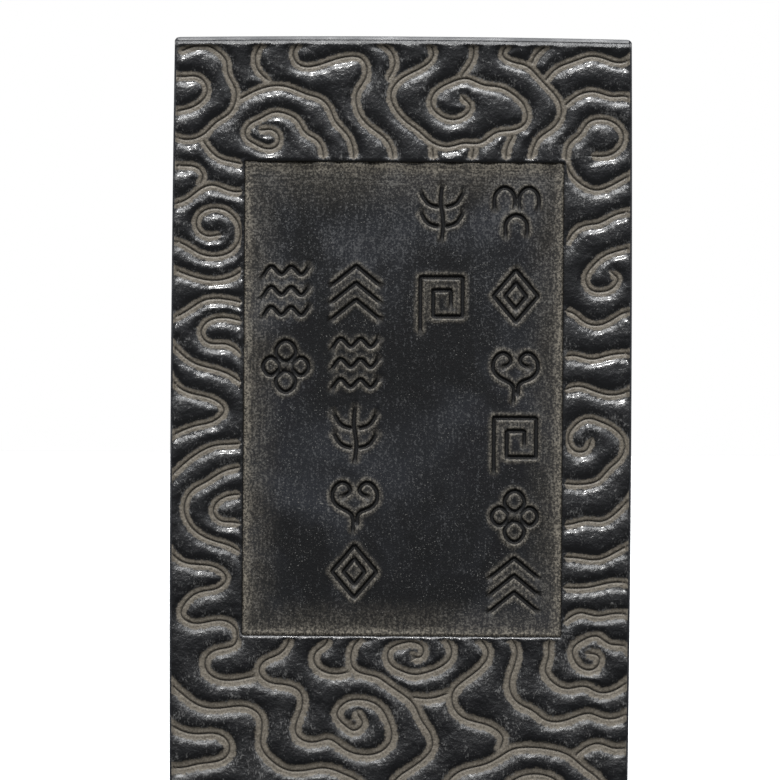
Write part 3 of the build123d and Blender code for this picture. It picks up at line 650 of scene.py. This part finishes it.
def border_mesh():
    outer = face_loop(0.0)
    inner = edge_points(WINDOW_LEFT, WINDOW_BOTTOM, WINDOW_RIGHT, WINDOW_TOP, 0.35)

    def inside(x, z):
        within = (side_gap(x, z) > SIDE_LIP + 0.12) & (end_gap(x, z) > COAT + 0.12)
        return within & (window_distance(x, z) > 0.12)

    offsets = (0.0, 0.11, 0.22, 0.42, 0.68, 0.88, 1.08, 1.28, 1.5, 1.8)
    fine = along_curves(cloud_curves, cloud_tree, 0.42, offsets, inside)
    x, z = np.meshgrid(np.arange(-35.0, 35.1, 0.52), np.arange(0.8, 124.0, 0.45), indexing="ij")
    x = x + 0.26 * (np.arange(x.shape[1]) % 2)
    fill = np.column_stack([x.ravel(), z.ravel()])
    fill = fill[inside(fill[:, 0], fill[:, 1])]
    fill = fill[distances(cloud_tree, fill) > 1.9]
    ring = []
    for gap in (0.15, 0.35):
        low, high = (WINDOW_LEFT - gap, WINDOW_BOTTOM - gap), (WINDOW_RIGHT + gap, WINDOW_TOP + gap)
        ring.extend(edge_points(*low, *high, 0.4))
    for gap in (0.15, 0.3, 0.45, 0.62, 0.8):
        ring.extend(face_loop(gap))
    points = thinned(np.concatenate([fine, fill, np.array(ring)]), 0.085)
    flat, faces = triangulate(points, [outer, inner])
    keep = []
    for face in faces:
        cx = sum(flat[k][0] for k in face) / 3.0
        cz = sum(flat[k][1] for k in face) / 3.0
        if window_distance(np.array(cx), np.array(cz)) > 1e-6:
            keep.append(face)
    d = distances(cloud_tree, flat)
    height = cloud_height(flat[:, 0], flat[:, 1], d)
    return flat, keep, height, d


flat, faces, height, line_distance = border_mesh()
reach = POWDER_REACH + POWDER_EXTRA_AT_FOOT * (1.0 - smooth(22.0, 44.0, flat[:, 1]))
stopped = 1.0 - smooth(0.25, 0.8, window_distance(flat[:, 0], flat[:, 1]))
edge_stop = 1.0 - smooth(1.1, 1.4, end_gap(flat[:, 0], flat[:, 1]))
stopped = np.maximum(stopped, edge_stop)
beyond = np.clip(line_distance / reach, 0.0, 5.0) + 1.2 * stopped
# The line attribute is 0 along the bottom of each incised groove, where the relief material paints
# near-black shade into the groove.
outside_groove_shade = np.maximum(smooth(0.04, 0.14, line_distance), smooth(0.3, 0.8, stopped))
dry = 1.0 - smooth(18.0, 70.0, flat[:, 1])
dry = np.maximum(dry * smooth(0.0, 0.7, window_distance(flat[:, 0], flat[:, 1])), edge_stop)
front_border = plate_object(
    "front_border_relief",
    flat,
    faces,
    height + 0.03 * rumple(flat[:, 0], flat[:, 1], 5.0, 1.0),
    HALF_THICKNESS,
    PLATE_BACK,
    {"beyond": beyond, "line": outside_groove_shade, "dry": dry},
)
back_border = link("back_border_relief", front_border.data)
back_border.rotation_euler = (0.0, 0.0, math.pi)


# ---- tablets ----
def mark_strokes():
    """Every stroke of every ornament, in its place on the tablet."""
    out = []
    for table, curved in ((CURVED_MARKS, True), (STRAIGHT_MARKS, False)):
        for strokes, x, z in table:
            for stroke in strokes:
                place = [(x + MARK_HALF_WIDTH * u, z + MARK_HALF_HEIGHT * v) for u, v in stroke]
                out.append(spline(place, SAMPLE) if curved else corners(place, SAMPLE))
    return out


def tablet_object(name, curves):
    inset = 0.02
    low_x, low_z = WINDOW_LEFT + inset, WINDOW_BOTTOM + inset
    high_x, high_z = WINDOW_RIGHT - inset, WINDOW_TOP - inset
    outer = edge_points(low_x, low_z, high_x, high_z, 0.4)

    def inside(x, z):
        return (x > low_x + 0.15) & (x < high_x - 0.15) & (z > low_z + 0.15) & (z < high_z - 0.15)

    x, z = np.meshgrid(np.arange(low_x, high_x, 0.5), np.arange(low_z, high_z, 0.5), indexing="ij")
    x = x + 0.25 * (np.arange(x.shape[1]) % 2)
    fill = np.column_stack([x.ravel(), z.ravel()])
    fill = fill[inside(fill[:, 0], fill[:, 1])]
    if curves:
        tree = tree_of(curves)
        fine = along_curves(curves, tree, 0.3, (0.0, 0.14, 0.25, 0.34, 0.44, 0.6, 0.85), inside)
        fill = fill[distances(tree, fill) > 1.0]
        fill = thinned(np.concatenate([fine, fill]), 0.08)
    flat, faces = triangulate(fill, [outer])
    d = distances(tree, flat) if curves else np.full(len(flat), 9.0)
    cut = -MARK_DEPTH * (1.0 - smooth(0.16, MARK_HALF_STROKE, d))
    rise = 0.05 * np.exp(-(((d - 0.62) / 0.22) ** 2))
    beside = np.minimum(flat[:, 0] - WINDOW_LEFT, WINDOW_RIGHT - flat[:, 0])
    wall = np.minimum(beside, np.minimum(flat[:, 1] - WINDOW_BOTTOM, WINDOW_TOP - flat[:, 1]))
    # Distance to the nearest wall for the tan powder wash. The top wall's distance is shrunk to 0.7, so the
    # wash runs wider below it as painted light over the shadow that wall casts.
    wash_gap_with_painted_top_light = np.minimum(beside, np.minimum(flat[:, 1] - WINDOW_BOTTOM, 0.7 * (WINDOW_TOP - flat[:, 1])))
    cove = 0.12 * (1.0 - smooth(0.0, 0.7, wall))
    sway = 0.05 * rumple(flat[:, 0] * 2.5, flat[:, 1] * 0.5, 6.0, 3.0 if curves else 7.0)
    obj = plate_object(
        name,
        flat,
        faces,
        cut + rise + cove + sway,
        HALF_THICKNESS - TABLET_SINK,
        PLATE_BACK,
        {
            "wall": np.clip(wash_gap_with_painted_top_light, 0.0, 30.0),
            "mark": 1.0 - smooth(0.3, 1.45, d),
            # Zero in the bottom of each mark stroke, where the field material paints near-black shade.
            "line": smooth(0.25, 0.4, d),
            "crosswise": smooth(98.0, 102.5, flat[:, 1]),
            "high": smooth(60.0, 100.0, flat[:, 1]),
        },
    )
    return obj


front_tablet = tablet_object("front_tablet_field", mark_strokes())
back_tablet = tablet_object("back_tablet_field", [])
back_tablet.rotation_euler = (0.0, 0.0, math.pi)


# ---- lacquered edges ----
SIDE_COUNT = 330
END_COUNT = 190
COAT_BACK = 2.5


def outline_point(s):
    """Point and outward direction on the outline, by a place s from 0 to 4 round its sides.

    Sides run left going up, top going right, right going down, bottom going left.
    """
    side = int(s) % 4
    t = s - int(s)
    r = CORNER_RADIUS
    if side in (0, 2):
        z = r + (LENGTH - TOP_BOW - 2 * r) * t
        x = HALF_ENDS + (HALF_MIDDLE - HALF_ENDS) * (1 - (2 * t - 1) ** 2)
        if side == 0:
            return (-x, z), (-1.0, 0.0)
        return (x, LENGTH - TOP_BOW - z), (1.0, 0.0)
    x = -HALF_ENDS + r + 2 * (HALF_ENDS - r) * t
    if side == 1:
        return (x, LENGTH - TOP_BOW * (x / HALF_ENDS) ** 2), (0.0, 1.0)
    return (-x, 0.0), (0.0, -1.0)


def corner_arc(cx, cz, start):
    out = []
    for k in range(1, 6):
        a = math.radians(start - 90.0 * k / 6.0)
        direction = (math.cos(a), math.sin(a))
        out.append(((cx + CORNER_RADIUS * direction[0], cz + CORNER_RADIUS * direction[1]), direction))
    return out


def seam_point(p):
    """Where the rim that ends at outline point p leaves the flat face."""
    z = min(max(p[1], COAT), LENGTH - TOP_BOW - COAT)
    half = side_line(z) - SIDE_LIP
    x = min(max(p[0], -half), half)
    if p[1] > LENGTH / 2:
        z = min(p[1], top_line(x) - COAT)
    return (x, z)


def rim_step(angle, upward):
    """Share of the way out and down at an angle round a rim, flatter on the short sides."""
    out = math.sin(angle)
    down = 1.0 - math.cos(angle)
    chamfer = 0.5 * (out + down)
    flat_share = 0.75 * upward * upward
    return out + (chamfer - out) * flat_share, down + (chamfer - down) * flat_share


def edge_object(name, stations, seed):
    """A lacquered edge: the rim and side that sweep from the front seam to the back seam."""
    angles = [math.radians(a) for a in (0, 12, 25, 38, 52, 66, 79, 90)]
    depths = list(np.linspace(-HALF_THICKNESS + TOP_RIM, HALF_THICKNESS - TOP_RIM, 30))[1:-1]
    seams = np.array([seam_point(p) for p, _ in stations])
    rise = cloud_height(seams[:, 0], seams[:, 1], distances(cloud_tree, seams))
    turned = np.column_stack([-seams[:, 0], seams[:, 1]])
    rise_back = cloud_height(turned[:, 0], turned[:, 1], distances(cloud_tree, turned))
    rows = []
    for ((px, pz), (ox, oz)), (qx, qz), front, back in zip(stations, seams, rise, rise_back):
        rim = SIDE_RIM + (TOP_RIM - SIDE_RIM) * oz * oz
        row = [(qx, -HALF_THICKNESS - front, qz)]
        for a in angles:
            share, drop = rim_step(a, oz)
            fall = rim * drop - front * (1.0 - drop)
            row.append((qx + (px - qx) * share, -HALF_THICKNESS + fall, qz + (pz - qz) * share))
        for y in depths:
            place = Vector((px * 0.11 + seed, y * 0.16, pz * 0.11))
            fine = Vector((px * 0.7 + seed, y * 0.8, pz * 0.7))
            dip = 0.05 * noise.noise(place) + 0.018 * noise.noise(fine) - 0.06
            fade = 1.0 - abs(y / HALF_THICKNESS) ** 6
            row.append((px + ox * dip * fade, y, pz + oz * dip * fade))
        for a in reversed(angles):
            share, drop = rim_step(a, oz)
            fall = rim * drop - back * (1.0 - drop)
            row.append((qx + (px - qx) * share, HALF_THICKNESS - fall, qz + (pz - qz) * share))
        row.append((qx, HALF_THICKNESS + back, qz))
        row.append((qx, HALF_THICKNESS - COAT_BACK, qz))
        row.append((qx, -HALF_THICKNESS + COAT_BACK, qz))
        rows.append(row)
    ring = len(rows[0])
    verts = [(x * MM, y * MM, z * MM) for row in rows for x, y, z in row]
    faces = []
    for k in range(len(rows) - 1):
        for j in range(ring):
            a = k * ring + j
            b = k * ring + (j + 1) % ring
            faces.append((a, b, b + ring, a + ring))
    faces.append(tuple(range(ring)))
    faces.append(tuple(range((len(rows) - 1) * ring, len(rows) * ring)))
    mesh = bpy.data.meshes.new(name)
    mesh.from_pydata(verts, [], faces)
    work = bmesh.new()
    work.from_mesh(mesh)
    bmesh.ops.remove_doubles(work, verts=work.verts, dist=1e-7)
    bmesh.ops.recalc_face_normals(work, faces=work.faces)
    for f in work.faces:
        f.smooth = len(f.verts) < 6
    work.to_mesh(mesh)
    work.free()
    return link(name, mesh)


def side_stations(side, count):
    """Outline points along one side, stopping just short of the next side's first."""
    return [outline_point(side + k / count * 0.99999) for k in range(count + 1)]


corner_x = HALF_ENDS - CORNER_RADIUS
corner_z = LENGTH - TOP_BOW - CORNER_RADIUS
bottom_left = corner_arc(-corner_x, CORNER_RADIUS, 270.0)
top_left = corner_arc(-corner_x, corner_z, 180.0)
top_right = corner_arc(corner_x, corner_z, 90.0)
bottom_right = corner_arc(corner_x, CORNER_RADIUS, 0.0)
left_stations = bottom_left[1:] + side_stations(0, SIDE_COUNT) + top_left[:-1]
right_stations = top_right[1:] + side_stations(2, SIDE_COUNT) + bottom_right[:-1]
left_edge = edge_object("left_edge_coat", left_stations, 0.0)
right_edge = edge_object("right_edge_coat", right_stations, 9.0)
top_stations = top_left[-2:] + side_stations(1, END_COUNT) + top_right[:2]
bottom_stations = bottom_right[-2:] + side_stations(3, END_COUNT) + bottom_left[:2]
top_edge = edge_object("top_edge_coat", top_stations, 17.0)
bottom_edge = edge_object("grinding_end_coat", bottom_stations, 26.0)


# ---- ink body between the faces ----
def core_object():
    low = Vector((0.05 - CORE_HALF_WIDTH, 0.02 - PLATE_BACK, COAT + 0.05)) * MM
    high = Vector((CORE_HALF_WIDTH - 0.05, PLATE_BACK - 0.02, CORE_TOP - 0.05)) * MM
    work = bmesh.new()
    bmesh.ops.create_cube(work, size=1.0)
    for v in work.verts:
        v.co = Vector(tuple(low[k] + (high[k] - low[k]) * (v.co[k] + 0.5) for k in range(3)))
    bmesh.ops.subdivide_edges(work, edges=work.edges, cuts=12, use_grid_fill=True)
    middle = (low + high) / 2
    for v in work.verts:
        shrink = 1.0 - 0.002 * (1.0 + noise.noise(v.co * 90.0))
        v.co = middle + (v.co - middle) * shrink
    mesh = bpy.data.meshes.new("ink_core_body")
    work.to_mesh(mesh)
    work.free()
    return link("ink_core_body", mesh)


core = core_object()


# ---- materials ----
def shader(name):
    material = bpy.data.materials.new(name)
    material.use_nodes = True
    tree = material.node_tree
    return material, tree, tree.nodes["Principled BSDF"]


def add(tree, kind, **settings):
    node = tree.nodes.new(kind)
    for key, value in settings.items():
        setattr(node, key, value)
    return node


def grain(tree, scale, detail, rough, stretch=(1.0, 1.0, 1.0), warp=0.0):
    """A noise in the object's own coordinates. Scale is per metre."""
    place = add(tree, "ShaderNodeTexCoord")
    turn = add(tree, "ShaderNodeMapping")
    turn.inputs["Scale"].default_value = stretch
    out = add(tree, "ShaderNodeTexNoise")
    out.inputs["Scale"].default_value = scale
    out.inputs["Detail"].default_value = detail
    out.inputs["Roughness"].default_value = rough
    out.inputs["Distortion"].default_value = warp
    tree.links.new(place.outputs["Object"], turn.inputs["Vector"])
    tree.links.new(turn.outputs["Vector"], out.inputs["Vector"])
    return out.outputs["Fac"]


def stepped(tree, value, low, high, start=0.0, end=1.0):
    """Maps low..high of a value smoothly to start..end."""
    node = add(tree, "ShaderNodeMapRange", interpolation_type="SMOOTHSTEP")
    node.inputs["From Min"].default_value = low
    node.inputs["From Max"].default_value = high
    node.inputs["To Min"].default_value = start
    node.inputs["To Max"].default_value = end
    tree.links.new(value, node.inputs["Value"])
    return node.outputs["Result"]


def sums(tree, operation, a, b):
    node = add(tree, "ShaderNodeMath", operation=operation)
    for socket, value in zip(node.inputs, (a, b)):
        if isinstance(value, (int, float)):
            socket.default_value = value
        else:
            tree.links.new(value, socket)
    return node.outputs["Value"]


def mixed(tree, share, first, second):
    """One colour giving way to another; each is a colour or a socket."""
    node = add(tree, "ShaderNodeMix", data_type="RGBA")
    tree.links.new(share, node.inputs["Factor"])
    sockets = [s for s in node.inputs if s.type == "RGBA"]
    for socket, value in zip(sockets, (first, second)):
        if isinstance(value, tuple):
            socket.default_value = value
        else:
            tree.links.new(value, socket)
    return [s for s in node.outputs if s.type == "RGBA"][0]


def attribute(tree, name):
    return add(tree, "ShaderNodeAttribute", attribute_name=name).outputs["Fac"]


def bumped(tree, bsdf, height, distance):
    """Fine grain in the surface, distance metres deep."""
    node = add(tree, "ShaderNodeBump")
    node.inputs["Strength"].default_value = 1.0
    node.inputs["Distance"].default_value = distance
    tree.links.new(height, node.inputs["Height"])
    tree.links.new(node.outputs["Normal"], bsdf.inputs["Normal"])


def relief_material():
    material, tree, bsdf = shader("pressed_ink")
    fine = grain(tree, 3900.0, 2.0, 0.65, (1.0, 1.0, 0.6))
    middling = grain(tree, 1300.0, 3.0, 0.6)
    patch = grain(tree, 210.0, 3.0, 0.6)
    beyond = attribute(tree, "beyond")
    dry = attribute(tree, "dry")
    specks = sums(tree, "ADD", fine, sums(tree, "MULTIPLY", middling, 0.5))
    specks = sums(tree, "ADD", specks, sums(tree, "MULTIPLY", patch, 0.7))
    specks = sums(tree, "ADD", specks, stepped(tree, beyond, 1.0, 3.0, 0.1, 0.0))
    dust = stepped(tree, specks, 1.22, 1.46)
    ink = mixed(tree, dust, (0.0025, 0.0027, 0.0035, 1.0), (0.105, 0.104, 0.102, 1.0))
    tan = mixed(tree, stepped(tree, fine, 0.3, 0.7), (0.078, 0.067, 0.052, 1.0), (0.152, 0.133, 0.105, 1.0))
    ragged = sums(tree, "MULTIPLY", sums(tree, "SUBTRACT", middling, 0.5), 1.1)
    ragged = sums(tree, "ADD", ragged, sums(tree, "MULTIPLY", sums(tree, "SUBTRACT", fine, 0.5), 0.8))
    covered = stepped(tree, sums(tree, "ADD", beyond, ragged), 0.84, 1.2, 1.0, 0.0)
    dressed = mixed(tree, covered, ink, tan)
    # Painted shade: near-black along the bottom of each incised groove.
    final = mixed(tree, attribute(tree, "line"), (0.0015, 0.0015, 0.002, 1.0), dressed)
    tree.links.new(final, bsdf.inputs["Base Color"])
    gloss = sums(tree, "ADD", stepped(tree, patch, 0.3, 0.7, 0.24, 0.4), sums(tree, "MULTIPLY", dry, 0.1))
    dull = sums(tree, "MULTIPLY", covered, 0.25)
    sheen = stepped(tree, dry, 0.1, 0.8, 0.46, 0.04)
    uncovered = sums(tree, "SUBTRACT", 1.0, covered)
    tree.links.new(sums(tree, "MULTIPLY", sheen, uncovered), bsdf.inputs["Coat Weight"])
    bsdf.inputs["Coat Roughness"].default_value = 0.12
    tree.links.new(sums(tree, "ADD", gloss, dull), bsdf.inputs["Roughness"])
    bsdf.inputs["Specular IOR Level"].default_value = 0.5
    pits = sums(tree, "ADD", sums(tree, "MULTIPLY", fine, 0.4), sums(tree, "MULTIPLY", middling, 5.0))
    bumped(tree, bsdf, pits, 0.000036)
    return material


def field_material():
    material, tree, bsdf = shader("rubbed_ink_field")
    fine = grain(tree, 3600.0, 2.0, 0.65)
    up = grain(tree, 3000.0, 3.0, 0.6, (1.0, 1.0, 0.1))
    sideways = grain(tree, 3000.0, 3.0, 0.6, (0.06, 1.0, 1.0))
    crosswise = attribute(tree, "crosswise")
    turned = sums(tree, "MULTIPLY", crosswise, sums(tree, "SUBTRACT", sideways, up))
    upright = sums(tree, "ADD", up, turned)
    cloud = grain(tree, 420.0, 4.0, 0.6)
    sheen_patch_noise = grain(tree, 45.0, 3.0, 0.5, (1.0, 1.0, 0.8), 1.0)
    wall = attribute(tree, "wall")
    high = attribute(tree, "high")
    scored = sums(tree, "ADD", sums(tree, "MULTIPLY", upright, 0.4), fine)
    # More pale streaks where the sheen patches lie: part of the painted sheen.
    lifted = sums(tree, "ADD", scored, stepped(tree, sheen_patch_noise, 0.38, 0.68, -0.06, 0.07))
    lifted = sums(tree, "ADD", lifted, sums(tree, "MULTIPLY", high, 0.05))
    streak = stepped(tree, lifted, 0.74, 1.01)
    # Painted sheen: lighter bluish patches over the dark field.
    sheen_share = stepped(tree, sheen_patch_noise, 0.44, 0.7)
    ink_with_painted_sheen = mixed(tree, sheen_share, (0.0012, 0.0014, 0.002, 1.0), (0.0135, 0.015, 0.019, 1.0))
    ink = mixed(tree, streak, ink_with_painted_sheen, (0.06, 0.0615, 0.064, 1.0))
    scratched = stepped(tree, scored, 0.58, 0.86)
    tan = mixed(tree, scratched, (0.045, 0.04, 0.032, 1.0), (0.19, 0.171, 0.138, 1.0))
    specks = sums(tree, "ADD", grain(tree, 4400.0, 1.0, 0.5), stepped(tree, cloud, 0.35, 0.65, -0.06, 0.04))
    ink = mixed(tree, stepped(tree, specks, 0.67, 0.77), ink, (0.14, 0.138, 0.13, 1.0))
    frayed = sums(tree, "ADD", wall, sums(tree, "MULTIPLY", sums(tree, "SUBTRACT", cloud, 0.5), 1.5))
    # Tan powder wash near the walls; below the top wall it runs wider, as painted light over that wall's
    # shadow.
    close = stepped(tree, frayed, -0.2, 2.6, 1.0, 0.0)
    wide = stepped(tree, frayed, 0.4, 6.5, 0.32, 0.0)
    marked = sums(tree, "ADD", attribute(tree, "mark"), sums(tree, "MULTIPLY", cloud, 0.8))
    halo = stepped(tree, marked, 0.55, 1.4, 0.0, 0.6)
    tanned = sums(tree, "MAXIMUM", sums(tree, "MAXIMUM", close, wide), halo)
    rubbed = sums(tree, "MULTIPLY", tanned, stepped(tree, scored, 0.5, 0.95, 0.6, 1.15))
    dressed = mixed(tree, rubbed, ink, tan)
    # Painted shade: near-black in the bottom of each incised mark stroke.
    final = mixed(tree, attribute(tree, "line"), (0.004, 0.004, 0.0045, 1.0), dressed)
    tree.links.new(final, bsdf.inputs["Base Color"])
    shine = stepped(tree, rubbed, 0.0, 1.0, 0.46, 0.7)
    tree.links.new(shine, bsdf.inputs["Roughness"])
    bsdf.inputs["Specular IOR Level"].default_value = 0.3
    bumped(tree, bsdf, sums(tree, "ADD", sums(tree, "MULTIPLY", upright, 1.4), fine), 0.00003)
    return material


def lacquer_material(name, dark, pale, low, high, along):
    material, tree, bsdf = shader(name)
    fine = grain(tree, 3200.0, 3.0, 0.6)
    cloud = grain(tree, 120.0, 5.0, 0.6)
    scratch = grain(tree, 2600.0, 2.0, 0.6, along)
    worn = sums(tree, "ADD", sums(tree, "MULTIPLY", cloud, 0.7), sums(tree, "MULTIPLY", scratch, 0.5))
    worn = stepped(tree, sums(tree, "ADD", worn, sums(tree, "MULTIPLY", fine, 0.6)), 0.92, 1.25)
    tree.links.new(mixed(tree, worn, dark, pale), bsdf.inputs["Base Color"])
    blend = sums(tree, "ADD", cloud, sums(tree, "MULTIPLY", scratch, 0.4))
    tree.links.new(stepped(tree, blend, 0.5, 0.9, low, high), bsdf.inputs["Roughness"])
    bsdf.inputs["Specular IOR Level"].default_value = 0.55
    pits = sums(tree, "ADD", fine, sums(tree, "MULTIPLY", scratch, 1.5))
    bumped(tree, bsdf, pits, 0.00002)
    return material


relief = relief_material()
field = field_material()
LENGTHWISE = (1.0, 1.0, 0.07)
ACROSS = (0.07, 1.0, 1.0)
lacquer = lacquer_material(
    "edge_lacquer_coat", (0.009, 0.01, 0.013, 1.0), (0.045, 0.048, 0.054, 1.0), 0.34, 0.56, LENGTHWISE
)
top_lacquer = lacquer_material(
    "top_lacquer_coat", (0.006, 0.007, 0.0095, 1.0), (0.05, 0.054, 0.062, 1.0), 0.3, 0.58, ACROSS
)
end_lacquer = lacquer_material(
    "grinding_end_film", (0.009, 0.0095, 0.012, 1.0), (0.035, 0.035, 0.038, 1.0), 0.45, 0.7, ACROSS
)
body_ink = lacquer_material(
    "dense_ink", (0.007, 0.0075, 0.01, 1.0), (0.02, 0.02, 0.024, 1.0), 0.6, 0.8, LENGTHWISE
)

pieces = [
    (front_border, relief, "ink_relief", ("front_cloud_border", "front_groove_powder")),
    (back_border, relief, "ink_relief", ("back_cloud_border", "back_groove_powder")),
    (front_tablet, field, "ink_field", ("front_tablet", "front_tablet_powder", "front_mark_powder")),
    (back_tablet, field, "ink_field", ("back_tablet", "back_tablet_powder")),
    (left_edge, lacquer, "edge_lacquer", ("left_edge_lacquer",)),
    (right_edge, lacquer, "edge_lacquer", ("right_edge_lacquer",)),
    (top_edge, top_lacquer, "edge_lacquer", ("top_edge_lacquer",)),
    (bottom_edge, end_lacquer, "end_lacquer", ("grinding_end_lacquer",)),
    (core, body_ink, "ink_body", ("ink_core",)),
]
for obj, material, slot, nodes in pieces:
    if not obj.data.materials:
        obj.data.materials.append(material)
    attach(obj, "root")
    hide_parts(*nodes)

# ---- floor, light and camera ----
floor_mesh = bpy.data.meshes.new("floor")
floor_mesh.from_pydata([(-4, -4, 0), (4, -4, 0), (4, 4, 0), (-4, 4, 0)], [], [(0, 1, 2, 3)])
floor = link("floor", floor_mesh)
floor.location.z = -0.00005
floor_material, _, floor_bsdf = shader("studio_floor")
floor_bsdf.inputs["Base Color"].default_value = (0.93, 0.93, 0.93, 1.0)
floor_bsdf.inputs["Roughness"].default_value = 0.9
floor_mesh.materials.append(floor_material)
floor.visible_diffuse = False
floor.visible_glossy = False


def panel(name, place, target, width, height, power, colour):
    data = bpy.data.lights.new(name, "AREA")
    data.shape = "RECTANGLE"
    data.size = width
    data.size_y = height
    data.energy = power
    data.color = colour
    obj = bpy.data.objects.new(name, data)
    obj.location = place
    aim = Vector(target) - Vector(place)
    obj.rotation_euler = aim.to_track_quat("-Z", "Y").to_euler()
    bpy.context.scene.collection.objects.link(obj)
    return obj


def sun(name, place, power, spread, colour):
    data = bpy.data.lights.new(name, "SUN")
    data.energy = power
    data.angle = math.radians(spread)
    data.color = colour
    obj = bpy.data.objects.new(name, data)
    obj.rotation_euler = (-Vector(place)).to_track_quat("-Z", "Y").to_euler()
    bpy.context.scene.collection.objects.link(obj)
    return obj


middle = (0.0, 0.0, 0.065)
sun("top_light", (-0.14, -0.95, 1.0), 2.0, 5.0, (1.0, 0.99, 0.97))
sun("back_fill", (0.5, 1.0, 0.7), 1.3, 30.0, (0.97, 0.98, 1.0))
panel("overhead_strip", (0.0, -0.25, 0.8), middle, 0.9, 0.2, 9.0, (0.98, 0.99, 1.0))

world = bpy.data.worlds.new("white_room")
bpy.context.scene.world = world
world.use_nodes = True
tree = world.node_tree
background = tree.nodes["Background"]
background.inputs["Color"].default_value = (1.0, 1.0, 1.0, 1.0)
dim = add(tree, "ShaderNodeBackground")
dim.inputs["Color"].default_value = (0.95, 0.97, 1.0, 1.0)
ways = add(tree, "ShaderNodeSeparateXYZ")
tree.links.new(add(tree, "ShaderNodeTexCoord").outputs["Generated"], ways.inputs["Vector"])
tree.links.new(stepped(tree, ways.outputs["Z"], -0.2, 0.9, 0.16, 1.1), dim.inputs["Strength"])
seen = add(tree, "ShaderNodeLightPath")
choose = add(tree, "ShaderNodeMixShader")
tree.links.new(seen.outputs["Is Camera Ray"], choose.inputs["Fac"])
tree.links.new(dim.outputs["Background"], choose.inputs[1])
tree.links.new(background.outputs["Background"], choose.inputs[2])
tree.links.new(choose.outputs["Shader"], tree.nodes["World Output"].inputs["Surface"])

SENSOR_WIDTH = 36.0
LENS = 200.0
VIEW_WIDTH = 0.1194
camera_data = bpy.data.cameras.new("camera")
camera = bpy.data.objects.new("camera", camera_data)
bpy.context.scene.collection.objects.link(camera)
camera_data.sensor_width = SENSOR_WIDTH
camera_data.lens = LENS
camera.location = (-0.0017, -0.009 - LENS / SENSOR_WIDTH * VIEW_WIDTH, 0.0701)
camera.rotation_euler = (math.radians(90.0), math.radians(-0.37), 0.0)
camera_data.dof.use_dof = False
bpy.context.scene.camera = camera
bpy.context.scene.view_settings.view_transform = "Standard"
